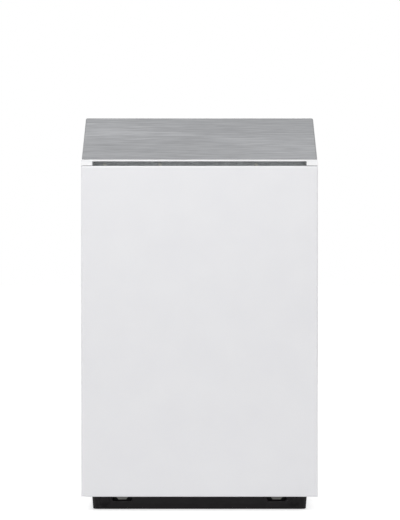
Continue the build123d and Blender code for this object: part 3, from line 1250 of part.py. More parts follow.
def flue_collar():
    """Air collar on the top panel, with webs that centre the flue socket."""
    at_low = (FLUE_X, FLUE_Y, TOP_Z)
    bore = AIR_COLLAR_R - AIR_COLLAR_WALL
    collar = ring(COLLAR_FLANGE_R, bore, at_low, (FLUE_X, FLUE_Y, TOP_Z + COLLAR_FLANGE))
    collar += ring(AIR_COLLAR_R, bore, at_low, (FLUE_X, FLUE_Y, TOP_Z + AIR_COLLAR_HEIGHT))
    start = FLUE_BORE_R + FLUE_WALL + FIT
    for count in range(COLLAR_WEBS):
        web = block(start, bore + AIR_COLLAR_WALL / 2, -COLLAR_WEB_THICK / 2, COLLAR_WEB_THICK / 2,
                    TOP_Z, TOP_Z + COLLAR_WEB_HEIGHT)
        web = web.rotate(Axis.Z, 90 + 360 * count / COLLAR_WEBS)
        collar += web.moved(Location((FLUE_X, FLUE_Y, 0)))
    return collar


def condensate_sump():
    """Plastic tray under the casting, open to the flue-gas ways."""
    wall = SUMP_WALL
    sump = block(CELL_LEFT_X, CELL_RIGHT_X, CELL_FRONT_Y, CELL_BACK_Y, SUMP_FLOOR_Z, CELL_FLOOR_Z)
    sump -= block(CELL_LEFT_X + wall, CELL_RIGHT_X - wall, CELL_FRONT_Y + wall, CELL_BACK_Y - wall,
                  SUMP_FLOOR_Z + wall, CELL_FLOOR_Z + PAST)
    sump -= rod(FLUE_BORE_R - FLUE_WALL, (CELL_RIGHT_X - 2 * wall, FLUE_Y, FLUE_Z),
                (CELL_RIGHT_X + PAST, FLUE_Y, FLUE_Z))
    return sump - rod(TRAP_NECK_R - wall, (TRAP_X, TRAP_Y, SUMP_FLOOR_Z - PAST),
                      (TRAP_X, TRAP_Y, SUMP_FLOOR_Z + 2 * wall))


def trap_bottle():
    """Siphon bottle with a ribbed union nut under the sump."""
    low_z = TRAP_TOP_Z - TRAP_HEIGHT
    bottle = rod(TRAP_R, (TRAP_X, TRAP_Y, low_z), (TRAP_X, TRAP_Y, TRAP_TOP_Z))
    bottle = fillet(bottle.edges(), TRAP_ROUND)
    bottle += rod(TRAP_NECK_R, (TRAP_X, TRAP_Y, TRAP_TOP_Z - PAST), (TRAP_X, TRAP_Y, SUMP_FLOOR_Z))
    nut_z = TRAP_TOP_Z + (TRAP_NECK - TRAP_NUT) / 2
    nut = Plane(origin=(TRAP_X, TRAP_Y, nut_z)) * RegularPolygon(TRAP_NUT_R, TRAP_NUT_SIDES)
    bottle += extrude(nut, amount=TRAP_NUT)
    out_z = TRAP_TOP_Z - TRAP_OUT_RISE
    out_y = TRAP_Y + TRAP_R + TRAP_PORT
    bottle += rod(CONDENSATE_R + CONDENSATE_SOCKET, (TRAP_X, TRAP_Y, out_z), (TRAP_X, out_y, out_z))
    wall = SUMP_WALL
    bottle -= rod(TRAP_R - wall, (TRAP_X, TRAP_Y, low_z + wall), (TRAP_X, TRAP_Y, TRAP_TOP_Z - wall))
    bottle -= rod(TRAP_NECK_R - wall, (TRAP_X, TRAP_Y, low_z + 2 * wall),
                  (TRAP_X, TRAP_Y, SUMP_FLOOR_Z + PAST))
    inner = CONDENSATE_R - CONDENSATE_WALL
    return bottle - rod(inner, (TRAP_X, TRAP_Y, out_z), (TRAP_X, out_y + PAST, out_z))


def condensate_trap():
    return [condensate_sump(), trap_bottle()]


def condensate_pipe():
    """21.5 mm plastic pipe from the trap to the back."""
    out_z = TRAP_TOP_Z - TRAP_OUT_RISE
    start_y = TRAP_Y + TRAP_R + TRAP_PORT
    turn_y = start_y + CONDENSATE_RUN
    points = [(TRAP_X, start_y, out_z), (TRAP_X, turn_y, out_z), (TRAP_X, turn_y, CONDENSATE_OUT_Z),
              (TRAP_X, STUB_Y, CONDENSATE_OUT_Z)]
    return bent_pipe(CONDENSATE_R, CONDENSATE_WALL, points, CONDENSATE_BEND)


# ================================================================ pump and safety valve
def along_pump(y):
    """A point on the pump's axis."""
    return RETURN_X, y, STUB_Z


def pump_housing():
    """Volute open to the motor, with suction, discharge and two side ports."""
    back_port = PUMP_BACK_Y + PUMP_PORT
    top_port = STUB_Z + PUMP_R + PUMP_PORT
    valve_x = RETURN_X - PUMP_R - SAFETY_PORT
    housing = rod(PUMP_R, along_pump(PUMP_FRONT_Y), along_pump(PUMP_BACK_Y))
    housing = fillet(housing.edges().group_by(Axis.Y)[-1], PUMP_ROUND)
    housing += rod(PUMP_PORT_R, along_pump(PUMP_BACK_Y - PAST), along_pump(back_port))
    housing += rod(PUMP_PORT_R, (RETURN_X, PUMP_MID_Y, STUB_Z), (RETURN_X, PUMP_MID_Y, top_port))
    housing += rod(SAFETY_R, (valve_x, PUMP_MID_Y, STUB_Z), (RETURN_X, PUMP_MID_Y, STUB_Z))
    housing += rod(SAFETY_R, (RETURN_X, PUMP_MID_Y, STUB_Z), (PLATE_LEFT_X, PUMP_MID_Y, STUB_Z))
    housing -= rod(PUMP_R - PUMP_WALL, along_pump(PUMP_FRONT_Y - PAST), along_pump(PUMP_BACK_Y - PUMP_WALL))
    water_r = PIPE_R - PIPE_WALL
    housing -= rod(water_r, along_pump(PUMP_BACK_Y - 2 * PUMP_WALL), along_pump(back_port + PAST))
    return housing - rod(water_r, (RETURN_X, PUMP_MID_Y, STUB_Z + PUMP_R / 2),
                         (RETURN_X, PUMP_MID_Y, top_port + PAST))


def pump_motor():
    """Finned motor with a terminal box, bored for the shaft."""
    front = PUMP_FRONT_Y - PUMP_MOTOR_LENGTH
    body = rod(PUMP_MOTOR_R - PUMP_FIN, along_pump(front), along_pump(PUMP_FRONT_Y))
    body += rod(PUMP_R, along_pump(PUMP_FRONT_Y - MOTOR_CAP), along_pump(PUMP_FRONT_Y))
    for count in range(PUMP_FINS):
        fin = block(PUMP_MOTOR_R - 2 * PUMP_FIN, PUMP_MOTOR_R, front + MOTOR_CAP, PUMP_FRONT_Y - MOTOR_CAP,
                    -PUMP_FIN / 2, PUMP_FIN / 2)
        fin = fin.rotate(Axis.Y, 360 * (count + 0.5) / PUMP_FINS)
        body += fin.moved(Location((RETURN_X, 0, STUB_Z)))
    wide, deep, high = TERMINAL_BOX
    middle_y = (front + PUMP_FRONT_Y) / 2
    body += block(RETURN_X - wide / 2, RETURN_X + wide / 2, middle_y - deep / 2, middle_y + deep / 2,
                  STUB_Z, STUB_Z + PUMP_MOTOR_R + high)
    bore_end = PUMP_FRONT_Y - SHAFT_LENGTH - MOTOR_CAP
    return body - rod(PUMP_SHAFT_R + FIT, along_pump(bore_end), along_pump(PUMP_FRONT_Y + PAST))


def pump_rotor():
    """Pump wheel with curved-back vanes on its shaft."""
    wheel_y = PUMP_FRONT_Y + WHEEL_GAP
    plate = WHEEL_PLATE
    wheel = rod(PUMP_WHEEL_R, along_pump(wheel_y), along_pump(wheel_y + plate))
    for count in range(PUMP_VANES):
        vane = block(VANE_START_R, VANE_END_R, wheel_y + plate / 2, wheel_y + PUMP_WHEEL_DEPTH,
                     -plate / 2, plate / 2)
        vane = vane.rotate(Axis.Y, VANE_LEAN).moved(Location((0, 0, PUMP_SHAFT_R)))
        vane = vane.rotate(Axis.Y, 360 * count / PUMP_VANES)
        wheel += vane.moved(Location((RETURN_X, 0, STUB_Z)))
    wheel += rod(PUMP_HUB_R, along_pump(wheel_y), along_pump(wheel_y + PUMP_WHEEL_DEPTH))
    return wheel + rod(PUMP_SHAFT_R, along_pump(PUMP_FRONT_Y - SHAFT_LENGTH), along_pump(wheel_y + PAST))


def safety_valve():
    """Brass relief valve on the pump, outlet down, with a stem for its cap."""
    right = RETURN_X - PUMP_R - SAFETY_PORT
    left = right - SAFETY_LENGTH
    y, z = PUMP_MID_Y, STUB_Z
    valve = rod(SAFETY_R, (left, y, z), (right, y, z))
    hexagon = Plane(origin=(right, y, z), z_dir=(-1, 0, 0)) * RegularPolygon(SAFETY_HEX_R, 6)
    valve += extrude(hexagon, amount=SAFETY_HEX)
    middle = (left + right) / 2
    low = z - SAFETY_R - SAFETY_OUTLET
    valve += rod(SAFETY_OUTLET_R, (middle, y, low), (middle, y, z))
    valve -= rod(SAFETY_OUTLET_R - SAFETY_OUTLET_WALL, (middle, y, low - PAST), (middle, y, z))
    return valve + rod(SAFETY_STEM_R, (left - SAFETY_STEM, y, z), (left + PAST, y, z))


def safety_valve_cap():
    """Grooved cap that is turned to blow the valve off."""
    face = RETURN_X - PUMP_R - SAFETY_PORT - SAFETY_LENGTH - SAFETY_CAP_GAP
    end = face - SAFETY_CAP_LENGTH
    y, z = PUMP_MID_Y, STUB_Z
    cap = rod(SAFETY_CAP_R, (end, y, z), (face, y, z))
    cap = fillet(cap.edges().group_by(Axis.X)[0], SAFETY_CAP_ROUND)
    for count in range(SAFETY_CAP_GRIPS):
        angle = 2 * math.pi * count / SAFETY_CAP_GRIPS
        gy, gz = y + SAFETY_CAP_R * math.cos(angle), z + SAFETY_CAP_R * math.sin(angle)
        cap -= rod(SAFETY_CAP_GRIP_R, (end - PAST, gy, gz), (face - SAFETY_CAP_RIM, gy, gz))
    return cap - rod(SAFETY_STEM_R + FIT, (end + SAFETY_CAP_END, y, z), (face + PAST, y, z))


# ================================================================ diverter valve and plate heat exchanger
def diverter_body():
    """Brass three-way body, bored for water along Z and for the spindle along Y."""
    wide, deep, high = DIVERTER_SIZE
    front, back = DIVERTER_Y - deep / 2, DIVERTER_Y + deep / 2
    low_z, top_z = DIVERTER_FLOOR_Z, DIVERTER_FLOOR_Z + high
    body = block(FLOW_X - wide / 2, FLOW_X + wide / 2, front, back, low_z, top_z)
    body = fillet(body.edges().filter_by(Axis.Z), DIVERTER_CORNER)
    water_r = PIPE_R - PIPE_WALL
    wall = DIVERTER_WALL
    body -= rod(water_r, (FLOW_X, DIVERTER_Y, low_z - PAST), (FLOW_X, DIVERTER_Y, top_z + PAST))
    body -= rod(water_r, (FLOW_X, DIVERTER_Y, DIVERTER_Z), (FLOW_X, back + PAST, DIVERTER_Z))
    body -= rod(DIVERTER_BORE_R, (FLOW_X, front + wall, DIVERTER_Z), (FLOW_X, back - wall, DIVERTER_Z))
    return body - rod(SPINDLE_R + FIT, (FLOW_X, front - PAST, DIVERTER_Z), (FLOW_X, DIVERTER_Y, DIVERTER_Z))


def diverter_actuator():
    """Motor box clipped on the front of the diverter."""
    wide, deep, high = ACTUATOR_SIZE
    back = DIVERTER_Y - DIVERTER_SIZE[1] / 2
    front = back - deep
    box = block(FLOW_X - wide / 2, FLOW_X + wide / 2, front, back,
                DIVERTER_Z - high / 2, DIVERTER_Z + high / 2)
    box = fillet(box.edges().filter_by(Axis.Y), ACTUATOR_CORNER)
    box = fillet(box.edges().group_by(Axis.Y)[0], ACTUATOR_ROUND)
    return box - rod(SPINDLE_R + SPINDLE_PLAY, (FLOW_X, front + ACTUATOR_WALL, DIVERTER_Z),
                     (FLOW_X, back + PAST, DIVERTER_Z))


def diverter_spindle():
    """Spindle with the valve disc at its end."""
    inner_y = DIVERTER_Y - DIVERTER_SIZE[1] / 2 + DIVERTER_WALL
    end = inner_y + SPINDLE_TRAVEL + SPINDLE_DISC + SPINDLE_END_GAP
    spindle = rod(SPINDLE_R, (FLOW_X, end - SPINDLE_LENGTH, DIVERTER_Z), (FLOW_X, end, DIVERTER_Z))
    return spindle + rod(SPINDLE_DISC_R, (FLOW_X, end - SPINDLE_DISC, DIVERTER_Z), (FLOW_X, end, DIVERTER_Z))


def plate_heat_exchanger():
    """Brazed stack of plates, seen as grooves round its edge."""
    wide, deep, high = PLATE_HX_SIZE
    left, right = FLOW_X - wide / 2, FLOW_X + wide / 2
    front, back = DIVERTER_Y - deep / 2, DIVERTER_Y + deep / 2
    stack = block(left, right, front, back, PLATE_FLOOR_Z, DIVERTER_FLOOR_Z)
    stack = fillet(stack.edges().filter_by(Axis.Y), PLATE_CORNER)
    core_left, core_right = left + PLATE_GROOVE, right - PLATE_GROOVE
    for count in range(1, int(deep / PLATE_PITCH)):
        y = front + PLATE_PITCH * count
        slot = block(left - PAST, right + PAST, y, y + PLATE_GROOVE,
                     PLATE_FLOOR_Z - PAST, DIVERTER_FLOOR_Z + PAST)
        core = block(core_left, core_right, y, y + PLATE_GROOVE, PLATE_FLOOR_Z + PLATE_GROOVE,
                     DIVERTER_FLOOR_Z - PLATE_GROOVE)
        ports = rod(PLATE_PORT_R, (left, DIVERTER_Y, STUB_Z), (right, DIVERTER_Y, STUB_Z))
        ports += rod(PLATE_PORT_R, (core_left, DIVERTER_Y, HOT_PORT_Z), (right, DIVERTER_Y, HOT_PORT_Z))
        ports += rod(PLATE_NECK_R, (FLOW_X, DIVERTER_Y, HOT_PORT_Z), (FLOW_X, DIVERTER_Y, DIVERTER_FLOOR_Z))
        stack -= slot - core - ports
    return stack


# ================================================================ water pipes and expansion vessel
def flow_pipes():
    """Heating flow: casting to diverter, and diverter to the back with the vessel's pipe soldered in."""
    diverter_top = DIVERTER_FLOOR_Z + DIVERTER_SIZE[2]
    upper = [(FLOW_X, CELL_FRONT_Y - PORT_PAD, FLOW_PORT_Z), (FLOW_X, DIVERTER_Y, FLOW_PORT_Z),
             (FLOW_X, DIVERTER_Y, diverter_top)]
    back = DIVERTER_Y + DIVERTER_SIZE[1] / 2
    lower = [(FLOW_X, back, DIVERTER_Z), (FLOW_X, FLOW_TURN_Y, DIVERTER_Z), (FLOW_X, FLOW_TURN_Y, STUB_Z),
             (FLOW_X, STUB_Y, STUB_Z)]
    tail = bent_pipe(PIPE_R, PIPE_WALL, lower, PIPE_BEND)
    return [bent_pipe(PIPE_R, PIPE_WALL, upper, PIPE_BEND), tail + vessel_pipe()]


def vessel_pipe():
    """Thin pipe from the expansion vessel to the upright run of the flow pipe."""
    low_z = STUB_Z + VESSEL_PIPE_RISE
    points = [(VESSEL_X, VESSEL_Y, VESSEL_Z - VESSEL_R), (VESSEL_X, VESSEL_Y, low_z),
              (VESSEL_X, FLOW_TURN_Y, low_z), (FLOW_X + PIPE_R - PIPE_WALL / 2, FLOW_TURN_Y, low_z)]
    return bent_pipe(VESSEL_PIPE_R, PIPE_WALL, points, VESSEL_PIPE_BEND)


def return_pipes():
    """Heating return: back to pump, and pump up to the casting."""
    straight = ring(PIPE_R, PIPE_R - PIPE_WALL, along_pump(PUMP_BACK_Y + PUMP_PORT), along_pump(STUB_Y))
    riser = [(RETURN_X, PUMP_MID_Y, STUB_Z + PUMP_R + PUMP_PORT), (RETURN_X, PUMP_MID_Y, RETURN_PORT_Z),
             (RETURN_X, CELL_FRONT_Y - PORT_PAD, RETURN_PORT_Z)]
    return [straight, bent_pipe(PIPE_R, PIPE_WALL, riser, PIPE_BEND)]


def cold_water_pipe():
    """15 mm cold water from the back to the plate heat exchanger."""
    points = [(COLD_X, STUB_Y, STUB_Z), (COLD_X, DIVERTER_Y, STUB_Z), (PLATE_RIGHT_X, DIVERTER_Y, STUB_Z)]
    return bent_pipe(SMALL_PIPE_R, PIPE_WALL, points, SMALL_PIPE_BEND)


def hot_water_pipe():
    """15 mm hot water from the plate heat exchanger to the back."""
    points = [(HOT_X, STUB_Y, STUB_Z), (HOT_X, DIVERTER_Y, STUB_Z), (HOT_X, DIVERTER_Y, HOT_PORT_Z),
              (PLATE_RIGHT_X, DIVERTER_Y, HOT_PORT_Z)]
    return bent_pipe(SMALL_PIPE_R, PIPE_WALL, points, SMALL_PIPE_BEND)


def expansion_vessel():
    """Flat round vessel with a seam, welded to two lugs on the back rails."""
    half = VESSEL_THICK / 2
    vessel = rod(VESSEL_R, (VESSEL_X - half, VESSEL_Y, VESSEL_Z), (VESSEL_X + half, VESSEL_Y, VESSEL_Z))
    vessel = fillet(vessel.edges(), VESSEL_ROUND)
    seam_half = VESSEL_SEAM_WIDTH / 2
    vessel += rod(VESSEL_R + VESSEL_SEAM, (VESSEL_X - seam_half, VESSEL_Y, VESSEL_Z),
                  (VESSEL_X + seam_half, VESSEL_Y, VESSEL_Z))
    inner_r, inner_half = VESSEL_R - VESSEL_WALL, half - VESSEL_WALL
    hollow = rod(inner_r, (VESSEL_X - inner_half, VESSEL_Y, VESSEL_Z),
                 (VESSEL_X + inner_half, VESSEL_Y, VESSEL_Z))
    vessel -= fillet(hollow.edges(), VESSEL_ROUND - VESSEL_WALL)
    bottom = VESSEL_Z - VESSEL_R
    vessel -= rod(VESSEL_PIPE_R + VESSEL_SEAM, (VESSEL_X, VESSEL_Y, bottom - 2 * VESSEL_SEAM),
                  (VESSEL_X, VESSEL_Y, bottom))
    vessel -= rod(VESSEL_PIPE_R - PIPE_WALL, (VESSEL_X, VESSEL_Y, bottom - PAST),
                  (VESSEL_X, VESSEL_Y, VESSEL_Z - inner_r / 2))
    for rail_z in (MID_RAIL_LOW_Z, MID_RAIL_HIGH_Z):
        rise = abs(rail_z + MID_RAIL / 2 - VESSEL_Z)
        start_y = VESSEL_Y + math.sqrt(VESSEL_R ** 2 - rise ** 2) - VESSEL_LUG
        vessel += block(VESSEL_X - VESSEL_LUG / 2, VESSEL_X + VESSEL_LUG / 2, start_y, CELL_BACK_Y,
                        rail_z + MID_RAIL / 4, rail_z + MID_RAIL * 3 / 4)
    return vessel


# ================================================================ gland and screws
def cable_gland():
    """Gland in the back panel for the mains lead, with its lock nut outside."""
    bore = GLAND_BORE_R
    inside = BACK_Y - SHEET - GLAND_INSIDE
    outside = BACK_Y + GLAND_NUT + GLAND_LENGTH
    gland = rod(GLAND_R, (GLAND_X, inside, GLAND_Z), (GLAND_X, outside, GLAND_Z))
    gland = fillet(gland.edges().group_by(Axis.Y)[-1], GLAND_ROUND)
    hexagon = Plane(origin=(GLAND_X, BACK_Y, GLAND_Z), z_dir=(0, 1, 0)) * RegularPolygon(GLAND_NUT_R, 6)
    gland += extrude(hexagon, amount=GLAND_NUT)
    return gland - rod(bore, (GLAND_X, inside - PAST, GLAND_Z), (GLAND_X, outside + PAST, GLAND_Z))


def screw_head(x, face_y, z, y_side):
    """Domed head with a straight slot, on a face across Y."""
    head = rod(SCREW_HEAD_R, (x, face_y, z), (x, face_y + y_side * SCREW_HEAD, z))
    outer = 0 if y_side < 0 else -1
    head = fillet(head.edges().group_by(Axis.Y)[outer], SCREW_ROUND)
    cut = sorted((face_y + y_side * (SCREW_HEAD - SCREW_SLOT_DEPTH), face_y + y_side * (SCREW_HEAD + PAST)))
    return head - block(x - SCREW_HEAD_R, x + SCREW_HEAD_R, *cut, z - SCREW_SLOT / 2, z + SCREW_SLOT / 2)


def panel_screws():
    """Screws of the back panel and of the rail behind the grip slot."""
    heads = [screw_head(x, FRAME_FRONT_Y, RAIL_TOP_Z - SLOT_SCREW_Z_DROP, -1) for x in SLOT_SCREWS_X]
    for x in (-SIDE_X + PANEL_SCREW_INSET, SIDE_X - PANEL_SCREW_INSET):
        for row in range(PANEL_SCREW_ROWS):
            heads.append(screw_head(x, BACK_Y, PANEL_SCREW_LOW_Z + row * PANEL_SCREW_PITCH, 1))
    return heads


# ================================================================ all sub-parts
def all_parts():
    """Every sub-part by name, each a solid or a list of solids."""
    side = right_side_panel()
    parts = {
        "base_tray": base_tray(),
        "chassis_frame": chassis_frame(),
        "back_panel": back_panel(),
        "left_side_panel": mirror_x(side),
        "right_side_panel": side,
        "top_panel": top_panel(),
        "front_rail": front_rail(),
        "front_cover": front_cover(),
        "cover_insulation": cover_insulation(),
        "cover_lugs": cover_lugs(),
        "cover_catches": cover_catches(),
        "control_flap": control_flap(),
        "flap_hinge_pins": flap_hinge_pins(),
        "control_console": control_console(),
        "display_window": display_window(),
        "control_board": control_board(),
        "gauge_case": gauge_case(),
        "gauge_lens": gauge_lens(),
        "gauge_needle": gauge_needle(),
        "temperature_knob": temperature_knob(),
        "power_switch": power_switch(),
        "reset_button": reset_button(),
        "heat_exchanger": heat_exchanger(),
        "burner_door": burner_door(),
        "burner_tube": burner_tube(),
        "ignition_electrodes": ignition_electrodes(),
        "fan_housing": fan_housing(),
        "fan_motor": fan_motor(),
        "fan_impeller": fan_impeller(),
        "venturi_mixer": venturi_mixer(),
        "gas_valve": gas_valve(),
        "gas_pipe": gas_pipe(),
        "flue_duct": flue_duct(),
        "flue_collar": flue_collar(),
        "condensate_trap": condensate_trap(),
        "condensate_pipe": condensate_pipe(),
        "pump_housing": pump_housing(),
        "pump_motor": pump_motor(),
        "pump_rotor": pump_rotor(),
        "safety_valve": safety_valve(),
        "safety_valve_cap": safety_valve_cap(),
        "diverter_body": diverter_body(),
        "diverter_actuator": diverter_actuator(),
        "diverter_spindle": diverter_spindle(),
        "plate_heat_exchanger": plate_heat_exchanger(),
        "expansion_vessel": expansion_vessel(),
        "flow_pipe": flow_pipes(),
        "return_pipe": return_pipes(),
        "cold_water_pipe": cold_water_pipe(),
        "hot_water_pipe": hot_water_pipe(),
        "cable_gland": cable_gland(),
        "panel_screws": panel_screws(),
    }
    for depth_name, y in FOOT_YS.items():
        for side_name, x in FOOT_XS.items():
            parts[f"foot_pad_{depth_name}_{side_name}"] = foot_pad(x, y)
            parts[f"foot_spindle_{depth_name}_{side_name}"] = foot_spindle(x, y)
    return parts


def write_parts():
    """One STEP file per sub-part."""
    os.makedirs("parts", exist_ok=True)
    for name, shape in all_parts().items():
        pieces = shape if isinstance(shape, list) else [shape]
        solids = [solid for piece in pieces for solid in piece.solids()]
        whole = solids[0] if len(solids) == 1 else Compound(solids)
        export_step(whole, f"parts/{name}.step")


write_parts()
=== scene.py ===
import bpy
import bmesh
import json
import math
from mathutils import Matrix, Vector


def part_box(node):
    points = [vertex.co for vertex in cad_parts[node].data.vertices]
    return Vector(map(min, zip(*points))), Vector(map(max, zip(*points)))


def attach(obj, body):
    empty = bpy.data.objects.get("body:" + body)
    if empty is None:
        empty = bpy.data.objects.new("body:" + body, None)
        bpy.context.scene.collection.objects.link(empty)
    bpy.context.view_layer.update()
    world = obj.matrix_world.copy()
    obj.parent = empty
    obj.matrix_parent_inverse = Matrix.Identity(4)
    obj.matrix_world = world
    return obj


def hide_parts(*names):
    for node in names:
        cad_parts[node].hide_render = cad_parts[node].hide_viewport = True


# A floor-standing condensing combi boiler, dressed for a studio picture. Metres, in the
# part's own frame: +X is right as seen from the front, -Y is the front, +Z is up.

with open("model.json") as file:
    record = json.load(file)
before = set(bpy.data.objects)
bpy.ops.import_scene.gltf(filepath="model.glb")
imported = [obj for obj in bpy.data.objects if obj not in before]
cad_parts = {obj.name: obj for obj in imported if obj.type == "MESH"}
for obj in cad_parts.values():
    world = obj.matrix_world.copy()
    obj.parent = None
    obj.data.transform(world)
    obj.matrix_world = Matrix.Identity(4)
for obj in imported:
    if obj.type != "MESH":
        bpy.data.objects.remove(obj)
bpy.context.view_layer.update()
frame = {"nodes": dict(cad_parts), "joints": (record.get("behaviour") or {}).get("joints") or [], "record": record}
NODES = frame["nodes"]
MM = 0.001

# ---------------------------------------------------------------- stage
CAMERA_PLACE = (0.0013, -3.845, 0.640)
CAMERA_LENS = 95.7
FLOOR_SIZE = 60.0
FLOOR_GREY = "f2f2f2"
ROOM_LIGHT = 0.40           # the even light of a white studio
FLOOR_LIFT = 0.66           # what the camera sees added, so that the open floor is white

# name: (place, size across and up, power in watts, point that it faces)
LAMPS = {
    "key_softbox": ((-1.0, -2.0, 2.8), (2.2, 1.4), 44.0, (0.0, 0.0, 0.9)),
    "fill_softbox": ((1.8, -2.2, 2.4), (1.8, 1.6), 16.0, (0.0, 0.0, 0.8)),
    "top_softbox": ((0.0, -0.2, 3.0), (2.4, 1.6), 4.0, (0.0, -0.1, 1.0)),
    "back_softbox": ((0.6, 3.0, 2.4), (2.2, 1.6), 18.0, (0.0, 0.0, 0.6)),
}


def linear_colour(hex_colour, alpha=1.0):
    """An sRGB hex colour as the linear values that shaders take."""
    shares = [int(hex_colour[i:i + 2], 16) / 255 for i in (0, 2, 4)]
    return [s / 12.92 if s <= 0.04045 else ((s + 0.055) / 1.055) ** 2.4 for s in shares] + [alpha]


def add_node(tree, kind, inputs=None, **settings):
    """Adds a shader node: settings are its own choices, inputs are values or sockets to link from."""
    made = tree.nodes.new("ShaderNode" + kind)
    for name, value in settings.items():
        setattr(made, name, value)
    for name, value in (inputs or {}).items():
        if isinstance(value, bpy.types.NodeSocket):
            tree.links.new(value, made.inputs[name])
        else:
            made.inputs[name].default_value = value
    return made


def new_material(name):
    """An empty node material and its tree."""
    made = bpy.data.materials.new(name)
    made.use_nodes = True
    made.node_tree.nodes.clear()
    return made, made.node_tree


def close_material(tree, shader):
    """Links the shader to the output."""
    add_node(tree, "OutputMaterial", {"Surface": shader.outputs[0]})


def pattern_place(tree, size_mm):
    """The piece's own coordinates, counted in pattern sizes given in millimetres along X, Y and Z."""
    own = add_node(tree, "TexCoord").outputs["Object"]
    per_metre = [1 / (size * MM) for size in size_mm]
    return add_node(tree, "VectorMath", {0: own, 1: per_metre}, operation="MULTIPLY").outputs[0]


def noise(tree, size_mm, **inputs):
    """Drifting values round one half, their blots of a size in millimetres along X, Y and Z."""
    place = pattern_place(tree, size_mm)
    return add_node(tree, "TexNoise", {"Vector": place, "Scale": 1.0, **inputs}).outputs[0]


def value_between(tree, share, low, high):
    """A value between two others, at a share from 0 to 1."""
    return add_node(tree, "MapRange", {"Value": share, "To Min": low, "To Max": high}).outputs[0]


def shade_between(tree, share, dark, light):
    """A colour between two hex shades, at a share from 0 to 1."""
    # input 0 of a Mix node is its share, 6 and 7 are its two colours, and output 2 is the mixed one
    inputs = {0: share, 6: linear_colour(dark), 7: linear_colour(light)}
    return add_node(tree, "Mix", inputs, data_type="RGBA").outputs[2]


def grained(name, dark, light, rough, grain_mm, relief_mm=0.0, cloud_mm=90.0, detail=3.0, **shader):
    """A finish whose colour drifts between two shades, with a grain that lifts and roughens it.

    rough is the lowest and highest roughness, grain_mm the grain's size along X, Y and Z,
    and cloud_mm the size of the slow drift. The other words are the shader's own values."""
    made, tree = new_material(name)
    grain = noise(tree, grain_mm, Detail=detail)
    cloud = noise(tree, [cloud_mm] * 3)
    both = add_node(tree, "Math", {0: grain, 1: cloud}, operation="ADD")
    share = add_node(tree, "MapRange", {"Value": both.outputs[0], "From Min": 0.6, "From Max": 1.4})
    colour = shade_between(tree, share.outputs[0], dark, light)
    roughness = value_between(tree, share.outputs[0], *rough)
    inputs = {"Base Color": colour, "Roughness": roughness, **shader}
    if relief_mm:
        lifted = add_node(tree, "Bump", {"Height": grain, "Distance": relief_mm * MM})
        inputs["Normal"] = lifted.outputs[0]
    close_material(tree, add_node(tree, "BsdfPrincipled", inputs))
    return made


# ---------------------------------------------------------------- finishes
def white_enamel():
    """Polyester powder coat on steel: satin white, with the faint ripple of a sprayed coat."""
    return grained("white_powder_coat", "ededf0", "f1f1f3", (0.30, 0.38), (2.5, 2.5, 2.5), 0.02,
                   **{"Coat Weight": 0.15, "Coat Roughness": 0.25})


def gloss_white():
    """Moulded glossy white ABS of the rail over the cover: a little wetter than the enamel, and a little whiter as
    a painted highlight.
    """
    # the whites f9f9fb and fdfdfe, lighter than the enamel's, are painted highlight on the rail
    return grained("gloss_abs_painted_highlight", "f9f9fb", "fdfdfe", (0.16, 0.24), (3.0, 3.0, 3.0), 0.005,
                   **{"Coat Weight": 0.5, "Coat Roughness": 0.08})


def brushed_flap():
    """Stainless sheet brushed across: fine level streaks and a soft stretched shine.

    The real scratches are about 0.1 mm apart. They are drawn 1.5 to 3 mm apart, to show in the picture."""
    made, tree = new_material("brushed_stainless_sheet")
    fine = noise(tree, (50.0, 1.4, 1.4), Detail=4.0, Roughness=0.6)
    broad = noise(tree, (90.0, 3.2, 3.2), Detail=2.0)
    both = add_node(tree, "Math", {0: fine, 1: broad}, operation="ADD")
    share = add_node(tree, "MapRange", {"Value": both.outputs[0], "From Min": 0.75, "From Max": 1.25})
    colour = shade_between(tree, share.outputs[0], "898a8c", "9fa0a2")
    roughness = value_between(tree, share.outputs[0], 0.38, 0.50)
    lifted = add_node(tree, "Bump", {"Height": both.outputs[0], "Distance": 0.05 * MM, "Strength": 0.8})
    shader = add_node(tree, "BsdfPrincipled", {
        "Base Color": colour, "Roughness": roughness, "Metallic": 1.0, "Anisotropic": 0.5,
        "Normal": lifted.outputs[0]})
    close_material(tree, shader)
    return made


def black_plastic():
    """Moulded black polypropylene: dull, with a fine spark-eroded grain."""
    return grained("moulded_black_polypropylene", "0c090b", "131012", (0.50, 0.62), (1.6, 1.6, 1.6), 0.05,
                   **{"Specular IOR Level": 0.2})


def galvanised(name, spangle_mm):
    """Hot-dip zinc: crystals of slightly different grey, each with its own shine."""
    made, tree = new_material(name)
    crystal = add_node(tree, "TexVoronoi", {"Vector": pattern_place(tree, [spangle_mm] * 3), "Scale": 1.0})
    tone = add_node(tree, "SeparateColor", {"Color": crystal.outputs["Color"]})
    colour = shade_between(tree, tone.outputs[0], "9a9d9f", "a9acae")
    roughness = value_between(tree, tone.outputs[1], 0.38, 0.50)
    inputs = {"Base Color": colour, "Roughness": roughness, "Metallic": 0.9}
    close_material(tree, add_node(tree, "BsdfPrincipled", inputs))
    return made


def grey_foam():
    """Open-cell foam mat: dark grey, dull, with pores about a millimetre wide, drawn twice as large, and painted
    shade in each pore.
    """
    made, tree = new_material("open_cell_foam")
    pores = add_node(tree, "TexVoronoi", {"Vector": pattern_place(tree, (2.2, 2.2, 2.2)), "Scale": 1.0})
    # each pore is darker towards its middle, where its bump dips: painted shade in the pore's hollow
    colour = add_node(tree, "ValToRGB", {"Fac": pores.outputs["Distance"]})
    colour.color_ramp.elements[0].color = linear_colour("2a2b2d")
    colour.color_ramp.elements[1].color = linear_colour("5a5b5e")
    lifted = add_node(tree, "Bump", {"Height": pores.outputs["Distance"], "Distance": 0.8 * MM})
    shader = add_node(tree, "BsdfPrincipled", {
        "Base Color": colour.outputs[0], "Roughness": 0.95, "Sheen Weight": 0.2,
        "Normal": lifted.outputs[0]})
    close_material(tree, shader)
    return made


